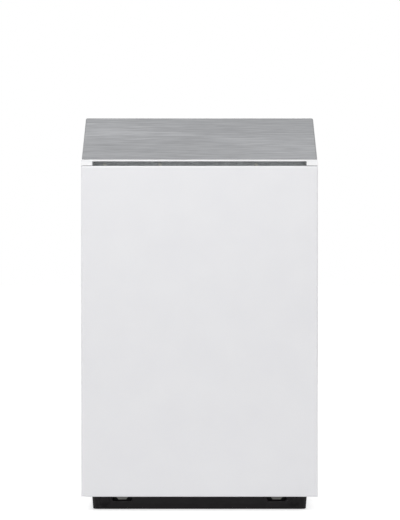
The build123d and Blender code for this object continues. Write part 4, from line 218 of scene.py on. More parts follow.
def light_grey_plastic():
    """Moulded light grey ABS: an even satin with a faint grain."""
    return grained("moulded_grey_abs", "6f6e6b", "7b7a77", (0.40, 0.50), (1.4, 1.4, 1.4), 0.03)


def zinc_steel():
    """Bright zinc-plated steel: cold grey with a trace of yellow, worn a little duller in places."""
    return grained("zinc_plated_steel", "9c9b94", "bdbdb9", (0.26, 0.42), (3.0, 3.0, 3.0), 0.01, 14.0,
                   Metallic=1.0)


def console_plastic():
    """Moulded dark grey ABS of the controls' panel, spark-eroded to a fine matt grain."""
    return grained("moulded_dark_abs", "2b2c2e", "333437", (0.50, 0.62), (1.1, 1.1, 1.1), 0.06)


def clear_plastic():
    """Clear polycarbonate of the window and the gauge: a smooth face and a grey cast."""
    made, tree = new_material("clear_polycarbonate")
    roughness = value_between(tree, noise(tree, (12.0, 12.0, 12.0)), 0.02, 0.08)
    inputs = {"Base Color": linear_colour("dfe5e8"), "Roughness": roughness, "IOR": 1.58,
              "Transmission Weight": 0.92}
    close_material(tree, add_node(tree, "BsdfPrincipled", inputs))
    return made


def circuit_board():
    """Glass-fibre board under green solder mask, with its copper tracks showing as paler lines."""
    made, tree = new_material("green_circuit_board")
    lines = add_node(tree, "TexBrick", {
        "Vector": pattern_place(tree, (1.0, 1.0, 1.0)), "Scale": 1.0, "Mortar Size": 0.35,
        "Brick Width": 11.0, "Row Height": 3.2, "Color1": linear_colour("1c5a33"),
        "Color2": linear_colour("1f6338"), "Mortar": linear_colour("3c8a50")})
    roughness = value_between(tree, noise(tree, (30.0, 30.0, 30.0)), 0.22, 0.40)
    inputs = {"Base Color": lines.outputs["Color"], "Roughness": roughness}
    close_material(tree, add_node(tree, "BsdfPrincipled", inputs))
    return made


def red_plastic():
    """Moulded red nylon: bright, with the soft shine of a smooth mould."""
    return grained("moulded_red_nylon", "a51d17", "b8241c", (0.28, 0.38), (2.0, 2.0, 2.0), 0.01)


def switch_plastic():
    """Polished black polycarbonate of the rocker switch."""
    return grained("polished_black_polycarbonate", "101011", "171718", (0.12, 0.22), (4.0, 4.0, 4.0))


def cast_aluminium():
    """Sand-cast aluminium: pale matt grey with the pimpled skin of the sand, about a millimetre apart."""
    return grained("sand_cast_aluminium", "8e9092", "b2b4b6", (0.42, 0.62), (2.2, 2.2, 2.2), 0.25,
                   30.0, 5.0, Metallic=0.85)


def stainless_steel():
    """Pressed and rolled stainless sheet: smooth, faintly drawn along its length."""
    return grained("rolled_stainless_steel", "a3a3a4", "bfbfc0", (0.22, 0.34), (30.0, 1.5, 30.0), 0.01,
                   40.0, Metallic=1.0)


def ceramic():
    """Glazed steatite: warm white with a hard wet shine."""
    return grained("glazed_ceramic", "dcd8cc", "e6e3d9", (0.10, 0.18), (5.0, 5.0, 5.0), 0.01,
                   **{"Coat Weight": 0.6, "Coat Roughness": 0.05})


def grey_plastic():
    """Grey polypropylene of flue and drain pieces: waxy, with a faint flow of the mould."""
    return grained("grey_polypropylene", "75787a", "808386", (0.36, 0.48), (6.0, 6.0, 2.0), 0.02)


def white_plastic():
    """Moulded white polypropylene: a waxy satin white."""
    return grained("moulded_white_polypropylene", "dedede", "e6e6e6", (0.38, 0.48), (2.0, 2.0, 2.0), 0.02)


def copper():
    """Drawn copper tube, handled and warmed: pink where bright, browner where it has dulled."""
    return grained("drawn_copper", "9c5a3c", "c97f5a", (0.24, 0.42), (6.0, 6.0, 6.0), 0.0, 35.0, 5.0,
                   Metallic=1.0)


def brass():
    """Hot-pressed brass: yellow, with the dull skin of a forging."""
    return grained("hot_pressed_brass", "a4853f", "c4a55c", (0.32, 0.48), (2.0, 2.0, 2.0), 0.06, 20.0,
                   Metallic=1.0)


def cast_iron():
    """Sand-cast iron under a thin dip of black paint: rough, with a low sheen."""
    return grained("painted_cast_iron", "202124", "2d2e31", (0.45, 0.62), (2.4, 2.4, 2.4), 0.30)


def motor_paint():
    """Dark blue-grey stove paint on the pump's motor can."""
    return grained("motor_stove_paint", "272b31", "31363d", (0.32, 0.44), (3.0, 3.0, 3.0), 0.04)


def vessel_paint():
    """Red epoxy on the expansion vessel: a thick coat with a slight orange-peel."""
    return grained("red_epoxy_paint", "93170f", "a61e15", (0.24, 0.36), (4.0, 4.0, 4.0), 0.05,
                   **{"Coat Weight": 0.2, "Coat Roughness": 0.15})


def black_rubber():
    """Moulded rubber of the feet: deep grey-black and dull, dusty in places."""
    return grained("moulded_black_rubber", "161616", "242322", (0.68, 0.85), (1.5, 1.5, 1.5), 0.05)


def dial_paint():
    """White enamel of the gauge's dial: dead matt, so that the needle and the marks read clearly."""
    return grained("matt_dial_enamel", "e2e2de", "e8e8e5", (0.55, 0.65), (1.5, 1.5, 1.5), 0.01)


def black_ink():
    """Screen-printed black ink of the dial and of the screen's dark bars."""
    return grained("screen_printed_black", "121213", "19191a", (0.45, 0.55), (0.8, 0.8, 0.8), 0.01)


def pale_ink():
    """Pad-printed light grey ink of the scale round the knob."""
    return grained("pad_printed_grey", "b9bbbd", "c6c8ca", (0.45, 0.55), (0.8, 0.8, 0.8), 0.01)


def green_ink():
    """Screen-printed green of the working range on the dial."""
    return grained("screen_printed_green", "2c7a3c", "338645", (0.45, 0.55), (0.8, 0.8, 0.8), 0.01)


def screen_glass():
    """Liquid crystal screen, switched off: grey-green and smooth, with a faint drift of tone."""
    return grained("unlit_liquid_crystal", "3c453f", "434c46", (0.12, 0.20), (9.0, 9.0, 9.0), 0.0, 40.0)


def status_lens():
    """Diffused green resin of a small signal lamp, switched off."""
    return grained("diffused_green_resin", "5f9c6a", "6fae79", (0.16, 0.24), (1.0, 1.0, 1.0), 0.0, 4.0)


def fibre_seal():
    """Ceramic fibre rope round the burner's door: off-white and dull, in strands a millimetre wide."""
    return grained("ceramic_fibre_rope", "b8b2a4", "d8d3c6", (0.85, 0.95), (1.2, 1.2, 1.2), 0.35, 12.0, 4.0)


def chip_resin():
    """Black epoxy of the chips and capacitors on the board."""
    return grained("moulded_black_epoxy", "17171a", "202024", (0.40, 0.52), (0.9, 0.9, 0.9), 0.02)


# finish of each material slot
FINISHES = {
    "white_enamel": white_enamel(),
    "brushed_metal": brushed_flap(),
    "black_plastic": black_plastic(),
    "galvanised_steel": galvanised("galvanised_section", 5.0),
    "galvanised_sheet": galvanised("galvanised_panel_sheet", 7.0),
    "grey_foam": grey_foam(),
    "light_grey_plastic": light_grey_plastic(),
    "zinc_steel": zinc_steel(),
    "console_plastic": console_plastic(),
    "clear_plastic": clear_plastic(),
    "circuit_board": circuit_board(),
    "red_plastic": red_plastic(),
    "switch_plastic": switch_plastic(),
    "cast_aluminium": cast_aluminium(),
    "stainless_steel": stainless_steel(),
    "ceramic": ceramic(),
    "grey_plastic": grey_plastic(),
    "white_plastic": white_plastic(),
    "copper": copper(),
    "brass": brass(),
    "cast_iron": cast_iron(),
    "motor_paint": motor_paint(),
    "vessel_paint": vessel_paint(),
    "black_rubber": black_rubber(),
}

# pieces whose finish differs from that of their slot
OWN_FINISHES = {"front_rail": gloss_white()}


def dress_nodes():
    """Gives each solid of the frame its own finish, or else the finish of its slot."""
    for entry in frame["record"]["subparts"]:
        mesh = NODES[entry["node"]].data
        mesh.materials.clear()
        mesh.materials.append(OWN_FINISHES.get(entry["node"], FINISHES[entry["material_slot"]]))


# ---------------------------------------------------------------- making pieces
def make_piece(name, form, finish, body="casing", smooth_deg=35.0):
    """Turns a form into a piece with its finish, on the body that it moves with."""
    bmesh.ops.recalc_face_normals(form, faces=form.faces)
    mesh = bpy.data.meshes.new(name)
    form.to_mesh(mesh)
    form.free()
    mesh.shade_smooth()
    mesh.set_sharp_from_angle(angle=math.radians(smooth_deg))
    mesh.materials.append(finish)
    piece = bpy.data.objects.new(name, mesh)
    bpy.context.scene.collection.objects.link(piece)
    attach(piece, body)
    return piece


def turned(form, profile_mm, place, sides=48, hollow=False):
    """Spins pairs of radius and height about the place's Z axis.

    A hollow form's profile closes on itself, and a solid form is closed by a flat face at each end."""
    rings = []
    for radius, height in profile_mm:
        ring = []
        for step in range(sides):
            angle = 2 * math.pi * step / sides
            spot = Vector((radius * math.cos(angle), radius * math.sin(angle), height)) * MM
            ring.append(form.verts.new(place @ spot))
        rings.append(ring)
    pairs = list(zip(rings, rings[1:]))
    if hollow:
        pairs.append((rings[-1], rings[0]))
    else:
        form.faces.new(rings[0])
        form.faces.new(rings[-1])
    for low, high in pairs:
        for step in range(sides):
            after = (step + 1) % sides
            form.faces.new((low[step], low[after], high[after], high[step]))


def bar(form, low_mm, high_mm, place, edge_mm=0.3):
    """A block between two corners with its edges broken."""
    low, high = Vector(low_mm) * MM, Vector(high_mm) * MM
    size = high - low
    shape = place @ Matrix.Translation((low + high) / 2) @ Matrix.Diagonal((*size, 1.0))
    made = bmesh.ops.create_cube(form, size=1.0, matrix=shape)
    # each edge once, in an order that is the same in every run
    edges = list(dict.fromkeys(edge for vert in made["verts"] for edge in vert.link_edges))
    bmesh.ops.bevel(form, geom=edges, offset=edge_mm * MM, segments=2, affect="EDGES", profile=0.5)


def sector(form, inner_mm, outer_mm, low_mm, high_mm, start_deg, end_deg, place, steps=24):
    """A flat curved band between two radii, from one angle to another, counted from the place's X axis."""
    rows = []
    for step in range(steps + 1):
        angle = math.radians(start_deg + (end_deg - start_deg) * step / steps)
        row = []
        corners = ((inner_mm, low_mm), (outer_mm, low_mm), (outer_mm, high_mm), (inner_mm, high_mm))
        for radius, height in corners:
            spot = Vector((radius * math.cos(angle), radius * math.sin(angle), height)) * MM
            row.append(form.verts.new(place @ spot))
        rows.append(row)
    for before, after in zip(rows, rows[1:]):
        for corner in range(4):
            other = (corner + 1) % 4
            form.faces.new((before[corner], before[other], after[other], after[corner]))
    form.faces.new(rows[0])
    form.faces.new(rows[-1])


def pointing(place_mm, direction):
    """A place whose Z axis looks along a direction."""
    turn = Vector(direction).to_track_quat("Z", "Y").to_matrix().to_4x4()
    return Matrix.Translation(Vector(place_mm) * MM) @ turn


def console_face():
    """The console face's own frame: X to the right, Y up the slope and Z out of the face."""
    knob = next(joint for joint in frame["joints"] if joint["name"] == "knob_turn")
    right = Vector((1.0, 0.0, 0.0))
    out = -Vector(knob["axis"]).normalized()
    middle = Vector(knob["pos_m"])
    middle.x = 0.0
    turn = Matrix((right, out.cross(right), out)).transposed().to_4x4()
    return Matrix.Translation(middle) @ turn


# ---------------------------------------------------------------- controls
# millimetres and degrees; places are counted from the middle of the console's face
KNOB_X = 60.0
GAUGE_X = 150.0
DISPLAY_X = -70.0
LAMP_X = 8.0
LAMP_STEP = 11.0
SWEEP_DEG = 270.0           # of the knob and of the needle
SWEEP_START_DEG = 225.0     # lower left, counted from the face's X axis
INK_THICK = 0.05
INK_EDGE = 0.01             # broken edge of a printed mark
LAYER_GAP = 0.05            # between a piece of trim and what it lies on

# the gauge's dial
DIAL_DEPTH = 7.0            # dial under the console's face
DIAL_R = 24.2
DIAL_HOLE_R = 2.2           # round the needle's pin
DIAL_THICK = 0.15
DIAL_TOP_BAR = 4            # highest figure on the dial
TICKS_PER_BAR = 5
TICK_R = 21.5               # outer ends of the ticks
BAR_TICK = (4.0, 0.5)       # length and half width of a tick at a whole bar
SMALL_TICK = (2.2, 0.28)    # and of one between
FIGURE_R = 14.0
FIGURE_SIZE = 5.2
BAND_R = (22.0, 23.6)
WORKING_BARS = (1.0, 2.0)
LIMIT_BARS = (3.0, 4.0)

# the marks round the knob
SCALE_R = 24.5              # their inner ends
SCALE_MARKS = 11
SCALE_MARK_REACH = (1.5, 5.5)   # length of the first and of the last
SCALE_MARK_HALF = 0.5
SCALE_MARK_THICK = 0.12

# the screen
SCREEN_SIZE = (92.0, 28.0)
SCREEN_TOP = -3.2           # counted from the console's face
MODULE_TOP = -5.0           # face of the board's display module, under the screen
SCREEN_RIM = (5.0, 3.0)     # width of the dark frame beside the screen and over it
SCREEN_RIM_PROUD = 0.4
SCREEN_GAP = 0.1
DIGIT_XS = (-14.0, 0.0)
DIGIT_HEIGHT = 16.0
DIGIT_WIDTH_SHARE = 0.52
DIGIT_BAR = 1.1             # width of each of a figure's seven bars
DIGIT_BAR_GAP = 0.8         # a bar's end to its neighbour's middle line


def sweep_angle(share):
    """Angle of a share of the sweep, which runs clockwise from the lower left."""
    return SWEEP_START_DEG - share * SWEEP_DEG


def figure(form, text, size_mm, x_mm, y_mm, low_mm, place):
    """A printed number, its middle at a point of the face."""
    letters = bpy.data.curves.new("figure", "FONT")
    letters.body = text
    letters.size = size_mm * MM
    letters.align_x = "CENTER"
    letters.align_y = "CENTER"
    letters.extrude = INK_THICK / 2 * MM
    letters.resolution_u = 3
    holder = bpy.data.objects.new("figure", letters)
    mesh = bpy.data.meshes.new_from_object(holder)
    mesh.transform(place @ Matrix.Translation(Vector((x_mm, y_mm, low_mm + INK_THICK / 2)) * MM))
    form.from_mesh(mesh)
    bpy.data.objects.remove(holder)
    bpy.data.curves.remove(letters)
    bpy.data.meshes.remove(mesh)


def gauge_dial(face):
    """The pressure gauge's dial: a white disc with ticks at every fifth of a bar, figures and two bands."""
    place = face @ Matrix.Translation((GAUGE_X * MM, 0.0, 0.0))
    low = LAYER_GAP - DIAL_DEPTH
    top = low + DIAL_THICK
    disc = bmesh.new()
    profile = [(DIAL_R, low), (DIAL_R, top), (DIAL_HOLE_R, top), (DIAL_HOLE_R, low)]
    turned(disc, profile, place, sides=96, hollow=True)
    make_piece("gauge_dial_face", disc, dial_paint())

    # the figures come first: faces added after a bevel land in an order that varies from run to run
    marks = bmesh.new()
    for value in range(DIAL_TOP_BAR + 1):
        around = math.radians(sweep_angle(value / DIAL_TOP_BAR))
        x_mm, y_mm = FIGURE_R * math.cos(around), FIGURE_R * math.sin(around)
        figure(marks, str(value), FIGURE_SIZE, x_mm, y_mm, top, place)
    ticks = DIAL_TOP_BAR * TICKS_PER_BAR
    for count in range(ticks + 1):
        reach, half = SMALL_TICK if count % TICKS_PER_BAR else BAR_TICK
        turn = place @ Matrix.Rotation(math.radians(sweep_angle(count / ticks)), 4, "Z")
        bar(marks, (TICK_R - reach, -half, top), (TICK_R, half, top + INK_THICK), turn, INK_EDGE)
    make_piece("gauge_dial_marks", marks, black_ink())

    for name, bars, finish, slot in (
            ("gauge_working_band", WORKING_BARS, green_ink(), "circuit_board"),
            ("gauge_limit_band", LIMIT_BARS, FINISHES["red_plastic"], "red_plastic")):
        band = bmesh.new()
        start, end = (sweep_angle(value / DIAL_TOP_BAR) for value in bars)
        sector(band, *BAND_R, top, top + INK_THICK, start, end, place)
        make_piece(name, band, finish)


def knob_scale(face):
    """Marks round the temperature knob, each longer than the one before it."""
    place = face @ Matrix.Translation((KNOB_X * MM, 0.0, 0.0))
    marks = bmesh.new()
    for count in range(SCALE_MARKS):
        share = count / (SCALE_MARKS - 1)
        turn = place @ Matrix.Rotation(math.radians(sweep_angle(share)), 4, "Z")
        reach = SCALE_MARK_REACH[0] + (SCALE_MARK_REACH[1] - SCALE_MARK_REACH[0]) * share
        bar(marks, (SCALE_R, -SCALE_MARK_HALF, 0.0), (SCALE_R + reach, SCALE_MARK_HALF, SCALE_MARK_THICK),
            turn, 0.03)
    make_piece("knob_scale_marks", marks, pale_ink())


def digit_bars(form, x_mm, place):
    """The seven bars of one figure of the screen."""
    low, top = SCREEN_TOP, SCREEN_TOP + INK_THICK
    half, wide, thick = DIGIT_HEIGHT / 2, DIGIT_HEIGHT * DIGIT_WIDTH_SHARE / 2, DIGIT_BAR / 2
    for level in (-half, 0.0, half):
        bar(form, (x_mm - wide + DIGIT_BAR_GAP, level - thick, low),
            (x_mm + wide - DIGIT_BAR_GAP, level + thick, top), place, INK_EDGE)
    for side in (-wide, wide):
        for level in (-half, 0.0):
            bar(form, (x_mm + side - thick, level + DIGIT_BAR_GAP, low),
                (x_mm + side + thick, level + half - DIGIT_BAR_GAP, top), place, INK_EDGE)


def display_screen(face):
    """The screen on the circuit board under the window: a dark frame, the screen and its two figures."""
    place = face @ Matrix.Translation((DISPLAY_X * MM, 0.0, 0.0))
    wide, high = SCREEN_SIZE[0] / 2, SCREEN_SIZE[1] / 2
    rim_wide, rim_high = wide + SCREEN_RIM[0], high + SCREEN_RIM[1]
    low, rim_top = MODULE_TOP + LAYER_GAP, SCREEN_TOP + SCREEN_RIM_PROUD
    rim = bmesh.new()
    for side in (-1, 1):
        near_x, far_x = sorted((side * wide, side * rim_wide))
        bar(rim, (near_x, -rim_high, low), (far_x, rim_high, rim_top), place, 0.2)
        near_y, far_y = sorted((side * high, side * rim_high))
        bar(rim, (-wide, near_y, low), (wide, far_y, rim_top), place, 0.2)
    make_piece("display_frame", rim, chip_resin())
    screen = bmesh.new()
    inner_wide, inner_high = wide - SCREEN_GAP, high - SCREEN_GAP
    bar(screen, (-inner_wide, -inner_high, low), (inner_wide, inner_high, SCREEN_TOP), place, 0.15)
    make_piece("display_screen", screen, screen_glass())
    bars = bmesh.new()
    for x_mm in DIGIT_XS:
        digit_bars(bars, x_mm, place)
    make_piece("display_figure_bars", bars, black_ink())


def status_lights(face):
    """Three small domed signal lamps in a row beside the display, each in a thin ring."""
    lens = [(1.6, 0.02), (1.6, 0.3), (1.35, 0.8), (0.8, 1.15), (0.2, 1.25)]
    ring = [(1.7, 0.02), (1.7, 0.4), (2.3, 0.4), (2.5, 0.2), (2.5, 0.02)]
    lenses, rings = bmesh.new(), bmesh.new()
    for step in range(3):
        place = face @ Matrix.Translation((LAMP_X * MM, (step - 1) * LAMP_STEP * MM, 0.0))
        turned(lenses, lens, place, sides=24)
        turned(rings, ring, place, sides=32, hollow=True)
    make_piece("status_lamp_lenses", lenses, status_lens())
    make_piece("status_lamp_rings", rings, chip_resin())


# ---------------------------------------------------------------- fittings
# name: (middle of the port's face, way that the pipe leaves it, pipe radius), in millimetres
UNIONS = {
    "cell_flow": ((20.0, 52.0, 690.0), (0, -1, 0), 11.0),
    "cell_return": ((-75.0, 52.0, 480.0), (0, -1, 0), 11.0),
    "pump_return": ((-75.0, -92.0, 170.0), (0, 1, 0), 11.0),
    "pump_outlet": ((-75.0, -130.0, 236.0), (0, 0, 1), 11.0),
    "diverter_top": ((20.0, -130.0, 360.0), (0, 0, 1), 11.0),
    "diverter_back": ((20.0, -108.0, 330.0), (0, 1, 0), 11.0),
    "gas_valve": ((-198.0, 90.0, 815.0), (-1, 0, 0), 11.0),
    "cold_water": ((57.0, -130.0, 170.0), (1, 0, 0), 7.5),
    "hot_water": ((57.0, -130.0, 260.0), (1, 0, 0), 7.5),
    "vessel": ((247.0, 110.0, 450.0), (0, 0, -1), 5.0),
}

# millimetres
FIT_GAP = 0.1               # between a piece of trim and the solid it sits on

# the nuts of the pipes' ports
UNION_WALL = 6.0            # hexagon's corner outside the pipe
UNION_LENGTH = 13.0
UNION_COLLAR = 4.0          # length of the round collar on top of the hexagon
UNION_CHAMFER = 1.4

# the pipes' rubber rings
GROMMET_WALL = 2.7
GROMMET_LIP = 3.0

# the rope round the burner's door
SEAL_HALF = 1.6             # half the rope's thickness
SEAL_GAP = 0.15
SEAL_TURN_R = 10.0          # corners of the door
SEAL_TURN_STEPS = 8
SEAL_SIDES = 10             # of the rope's section

# the slotted plugs
HEAD_ROWS = ((0.7, 0.93), (0.92, 0.88), (1.0, 0.72))    # shares of a plug's height and radius
HEAD_STEPS = 16             # round half a head
SLOT_SHARE = 0.16           # half the slot's width, as a share of the radius
PUMP_VENT = (-75.0, 170.0)  # x and z
PUMP_VENT_SIZE = (9.0, 3.5)     # radius and height
TEST_PLUG_MIDDLE = (-157.0, 792.0)  # x and z between the two plugs
TEST_PLUG_SIDE = 14.0       # from there to each plug
TEST_PLUG_SIZE = (4.5, 4.0)

# the vessel's air valve
VESSEL_FACE = (209.0, 110.0)    # x and y of the vessel's flat side
CAP_RIBS = 12


def union_nuts():
    """Brass nuts that clamp each pipe to its port: a chamfered hexagon and a round collar."""
    form = bmesh.new()
    for place_mm, direction, pipe_r in UNIONS.values():
        place = pointing(place_mm, direction)
        bore, corner = pipe_r + FIT_GAP, pipe_r + UNION_WALL
        flat = corner * math.cos(math.pi / 6)
        nut_top = UNION_LENGTH - UNION_COLLAR
        nut = [(bore, FIT_GAP), (flat, FIT_GAP), (corner, UNION_CHAMFER), (corner, nut_top - UNION_CHAMFER),
               (flat, nut_top), (bore, nut_top)]
        collar = [(bore, nut_top + FIT_GAP), (pipe_r + 3.4, nut_top + FIT_GAP),
                  (pipe_r + 2.8, UNION_LENGTH - 0.6), (pipe_r + 1.6, UNION_LENGTH), (bore, UNION_LENGTH)]
        turned(form, nut, place, sides=6, hollow=True)
        turned(form, collar, place, sides=40, hollow=True)
    make_piece("pipe_union_nuts", form, FINISHES["brass"], smooth_deg=25.0)


def pipe_grommets():
    """Rubber rings that close the gap between each pipe and the back panel."""
    back_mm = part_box("back_panel")[1][1] / MM
    form = bmesh.new()
    for mount in frame["record"]["mounts"]:
        if mount["kind"] != "pin" or mount["axis"] != [0, 1, 0]:
            continue
        x, _, z = mount["pos_m"]
        place = pointing((x / MM, back_mm, z / MM), (0, 1, 0))
        inner = mount["dims"]["r_mm"] + FIT_GAP
        hole = inner + GROMMET_WALL
        lip = hole + GROMMET_LIP
        inner_lip = [(inner, -2.6), (lip - 0.8, -2.6), (lip, -1.9), (lip, -1.1)]
        neck = [(hole, -1.1), (hole, 0.1)]
        outer_lip = [(lip, 0.1), (lip, 0.9), (lip - 0.8, 1.4), (inner, 1.4)]
        turned(form, inner_lip + neck + outer_lip, place, sides=56, hollow=True)
    make_piece("pipe_grommets", form, FINISHES["black_rubber"])


def door_seal():
    """Fibre rope that shows all round the edge of the burner's door."""
    low, high = (Vector(corner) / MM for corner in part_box("burner_door"))
    middle = (low + high) / 2
    corners = ((high.x, high.y, 0), (low.x, high.y, 90), (low.x, low.y, 180), (high.x, low.y, 270))
    route = []
    for x, y, first in corners:
        corner_x = x - math.copysign(SEAL_TURN_R, x - middle.x)
        corner_y = y - math.copysign(SEAL_TURN_R, y - middle.y)
        for step in range(SEAL_TURN_STEPS + 1):
            angle = math.radians(first + 90 * step / SEAL_TURN_STEPS)
            route.append((corner_x, corner_y, math.cos(angle), math.sin(angle)))
    form = bmesh.new()
    rings = []
    for x, y, out_x, out_y in route:
        ring = []
        for step in range(SEAL_SIDES):
            angle = 2 * math.pi * step / SEAL_SIDES
            reach = SEAL_TURN_R + SEAL_GAP + SEAL_HALF * (1 + math.cos(angle))
            height = low.z + SEAL_HALF * (1 + math.sin(angle))
            ring.append(form.verts.new(Vector((x + out_x * reach, y + out_y * reach, height)) * MM))
        rings.append(ring)
    for ring, after in zip(rings, rings[1:] + rings[:1]):
        for step in range(SEAL_SIDES):
            other = (step + 1) % SEAL_SIDES
            form.faces.new((ring[step], ring[other], after[other], after[step]))
    make_piece("burner_door_seal", form, fibre_seal())


def slotted_head(form, place, radius_mm, height_mm):
    """A domed round head with a screwdriver slot: two half heads with the slot between them."""
    low_share, wide_share = HEAD_ROWS[0]
    foot = [(radius_mm, LAYER_GAP), (radius_mm, height_mm * 0.55),
            (radius_mm * wide_share, height_mm * low_share)]
    turned(form, foot, place, sides=40)
    gap = SLOT_SHARE * radius_mm
    limit = math.asin(gap / (radius_mm * wide_share))
    for side in (0.0, math.pi):
        turn = place @ Matrix.Rotation(side, 4, "Z")
        rows = []
        for up, out in HEAD_ROWS:
            row = []
            for step in range(HEAD_STEPS + 1):
                angle = limit + (math.pi - 2 * limit) * step / HEAD_STEPS
                x, y = radius_mm * out * math.cos(angle), radius_mm * out * math.sin(angle)
                row.append(form.verts.new(turn @ (Vector((x, max(gap, y), height_mm * up)) * MM)))
            rows.append(row)
        for row, after in zip(rows, rows[1:]):
            for step in range(len(row)):
                other = (step + 1) % len(row)
                form.faces.new((row[step], row[other], after[other], after[step]))
        form.faces.new(rows[-1])


def brass_plugs():
    """Slotted plugs: the pump's vent in the middle of its motor, and the gas valve's two test points."""
    form = bmesh.new()
    x, z = PUMP_VENT
    slotted_head(form, pointing((x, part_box("pump_motor")[0][1] / MM, z), (0, -1, 0)), *PUMP_VENT_SIZE)
    x, z = TEST_PLUG_MIDDLE
    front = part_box("gas_valve")[0][1] / MM
    for side in (-TEST_PLUG_SIDE, TEST_PLUG_SIDE):
        slotted_head(form, pointing((x + side, front, z), (0, -1, 0)), *TEST_PLUG_SIZE)
    make_piece("brass_plugs", form, FINISHES["brass"], smooth_deg=30.0)


def vessel_valve():
    """Air valve in the middle of the expansion vessel, under its ribbed cap."""
    low, high = (Vector(corner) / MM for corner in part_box("expansion_vessel"))
    place = pointing((*VESSEL_FACE, (low.z + high.z) / 2), (-1, 0, 0))
    seat, cap = bmesh.new(), bmesh.new()
    turned(seat, [(9.0, LAYER_GAP), (9.0, 1.2), (7.6, 2.4), (5.2, 2.6), (5.2, 3.4)], place, sides=40)
    make_piece("vessel_valve_seat", seat, FINISHES["zinc_steel"])
    turned(cap, [(4.6, 3.5), (5.0, 3.9), (5.0, 12.6), (4.2, 13.6), (1.0, 13.8)], place, sides=40)
    for count in range(CAP_RIBS):
        turn = place @ Matrix.Rotation(2 * math.pi * count / CAP_RIBS, 4, "Z")
        bar(cap, (4.8, -0.5, 4.6), (5.6, 0.5, 12.2), turn, 0.2)
    make_piece("vessel_valve_cap", cap, FINISHES["black_plastic"])


# ---------------------------------------------------------------- foam mat
# millimetres
MAT_STEP = 9.0              # grid of the mat
MAT_CORNER = 26.0
MAT_EDGE = 7.0              # width of its rounded edge
MAT_EDGE_THICK = 4.5        # thickness at the edge
MAT_WAVE = 0.7              # rise and fall of its face


def mat_spot(share_x, share_z, half_x, half_z):
    """Place on the mat's outline for a place on a plain rectangle, and its distance from the edge."""
    x, z = share_x * half_x, share_z * half_z
    past_x, past_z = abs(x) - (half_x - MAT_CORNER), abs(z) - (half_z - MAT_CORNER)
    if past_x > 0 and past_z > 0:
        pull = max(past_x, past_z) / math.hypot(past_x, past_z)
        past_x, past_z = past_x * pull, past_z * pull
        x = math.copysign(half_x - MAT_CORNER + past_x, x)
        z = math.copysign(half_z - MAT_CORNER + past_z, z)
        return x, z, MAT_CORNER - math.hypot(past_x, past_z)
    return x, z, min(half_x - abs(x), half_z - abs(z))


def mat_ripple(x, z):
    """Slow uneven rise and fall over the mat's face, from -1 to 1."""
    return math.sin(x / 41.0 + 1.3 * math.sin(z / 67.0)) * math.cos(z / 53.0 + 0.6 * math.sin(x / 71.0))


def foam_mat():
    """Foam mat glued inside the front cover: flat on the steel, crowned and soft-edged on its free side."""
    low, high = (Vector(corner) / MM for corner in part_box("cover_insulation"))
    half_x, half_z = (high.x - low.x) / 2, (high.z - low.z) / 2
    full = high.y - low.y - MAT_WAVE
    columns = round(2 * half_x / MAT_STEP)
    rows = round(2 * half_z / MAT_STEP)
    form = bmesh.new()
    glued, free = [], []
    for row in range(rows + 1):
        for column in range(columns + 1):
            x, z, inside = mat_spot(2 * column / columns - 1, 2 * row / rows - 1, half_x, half_z)
            share = min(max(inside, 0.0) / MAT_EDGE, 1.0)
            thick = MAT_EDGE_THICK + (full - MAT_EDGE_THICK) * math.sqrt(1 - (1 - share) ** 2)
            thick += MAT_WAVE * mat_ripple(x, z) * share
            centre_x, centre_z = (low.x + high.x) / 2 + x, (low.z + high.z) / 2 + z
            glued.append(form.verts.new(Vector((centre_x, low.y + LAYER_GAP, centre_z)) * MM))
            free.append(form.verts.new(Vector((centre_x, low.y + thick, centre_z)) * MM))
    wide = columns + 1
    for row in range(rows):
        for column in range(columns):
            first = row * wide + column
            corners = (first, first + 1, first + wide + 1, first + wide)
            form.faces.new([glued[corner] for corner in corners])
            form.faces.new([free[corner] for corner in corners])
    rim = list(range(columns)) + [row * wide + columns for row in range(rows)]
    rim += [rows * wide + column for column in range(columns, 0, -1)]
    rim += [row * wide for row in range(rows, 0, -1)]
    for first, second in zip(rim, rim[1:] + rim[:1]):
        form.faces.new((glued[first], glued[second], free[second], free[first]))
    mat = make_piece("cover_foam_mat", form, FINISHES["grey_foam"], "front_cover", 60.0)
    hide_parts("cover_insulation")


# ---------------------------------------------------------------- room, lamps and camera
def white_for_camera(tree):
    """1 where the camera, a mirror or a window looks at the room, and 0 for the light it gives."""
    path = add_node(tree, "LightPath")
    shiny = add_node(tree, "Math", {0: path.outputs["Is Camera Ray"], 1: path.outputs["Is Glossy Ray"]},
                     operation="MAXIMUM")
    seen = add_node(tree, "Math", {0: shiny.outputs[0], 1: path.outputs["Is Transmission Ray"]},
                    operation="MAXIMUM")
    return seen.outputs[0]


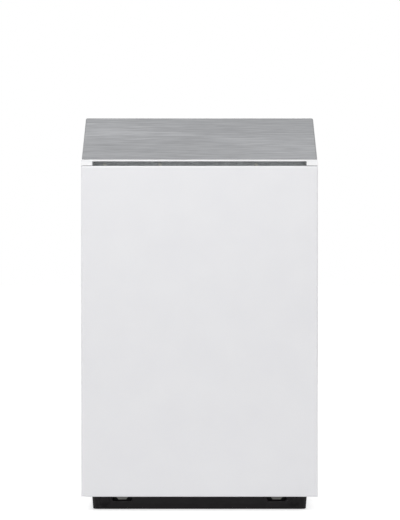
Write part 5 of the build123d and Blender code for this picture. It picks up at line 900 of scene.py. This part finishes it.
def set_room():
    """A white studio: even light from all round, and a white background for the camera."""
    world = bpy.data.worlds.new("studio")
    bpy.context.scene.world = world
    world.use_nodes = True
    tree = world.node_tree
    tree.nodes.clear()
    # input 0 of this Mix node is its share, and 2 and 3 are its two values
    strength = add_node(tree, "Mix", {0: white_for_camera(tree), 2: ROOM_LIGHT, 3: 1.0}, data_type="FLOAT")
    glow = add_node(tree, "Background", {"Color": (1.0, 1.0, 1.0, 1.0), "Strength": strength.outputs[0]})
    add_node(tree, "OutputWorld", {"Surface": glow.outputs[0]})


def lay_floor():
    """Pale floor that runs out to white and keeps the boiler's shadow."""
    mesh = bpy.data.meshes.new("studio_floor")
    half = FLOOR_SIZE / 2
    corners = [(-half, -half, 0), (half, -half, 0), (half, half, 0), (-half, half, 0)]
    mesh.from_pydata(corners, [], [(0, 1, 2, 3)])
    floor = bpy.data.objects.new("studio_floor", mesh)
    bpy.context.scene.collection.objects.link(floor)
    made, tree = new_material("white_studio_floor")
    matt = add_node(tree, "BsdfDiffuse", {"Color": linear_colour(FLOOR_GREY)})
    lift = add_node(tree, "Math", {0: white_for_camera(tree), 1: FLOOR_LIFT}, operation="MULTIPLY")
    glow = add_node(tree, "Emission", {"Strength": lift.outputs[0]})
    close_material(tree, add_node(tree, "AddShader", {0: matt.outputs[0], 1: glow.outputs[0]}))
    mesh.materials.append(made)


def hang_lamps():
    """Soft rectangular lamps, each turned to its point."""
    for name, (place, (across, up), power, target) in LAMPS.items():
        lamp = bpy.data.lights.new(name, "AREA")
        lamp.shape = "RECTANGLE"
        lamp.size = across
        lamp.size_y = up
        lamp.energy = power
        holder = bpy.data.objects.new(name, lamp)
        bpy.context.scene.collection.objects.link(holder)
        holder.location = place
        holder.rotation_euler = (Vector(target) - Vector(place)).to_track_quat("-Z", "Y").to_euler()


def set_camera():
    """Level camera straight in front, as in the photograph."""
    camera = bpy.data.cameras.new("front_camera")
    camera.lens = CAMERA_LENS
    holder = bpy.data.objects.new("front_camera", camera)
    bpy.context.scene.collection.objects.link(holder)
    holder.location = CAMERA_PLACE
    holder.rotation_euler = (math.radians(90), 0, 0)
    bpy.context.scene.camera = holder


dress_nodes()
face_frame = console_face()
gauge_dial(face_frame)
knob_scale(face_frame)
display_screen(face_frame)
status_lights(face_frame)
union_nuts()
pipe_grommets()
door_seal()
brass_plugs()
vessel_valve()
foam_mat()
set_room()
lay_floor()
hang_lamps()
set_camera()
bpy.context.scene.view_settings.view_transform = "Standard"
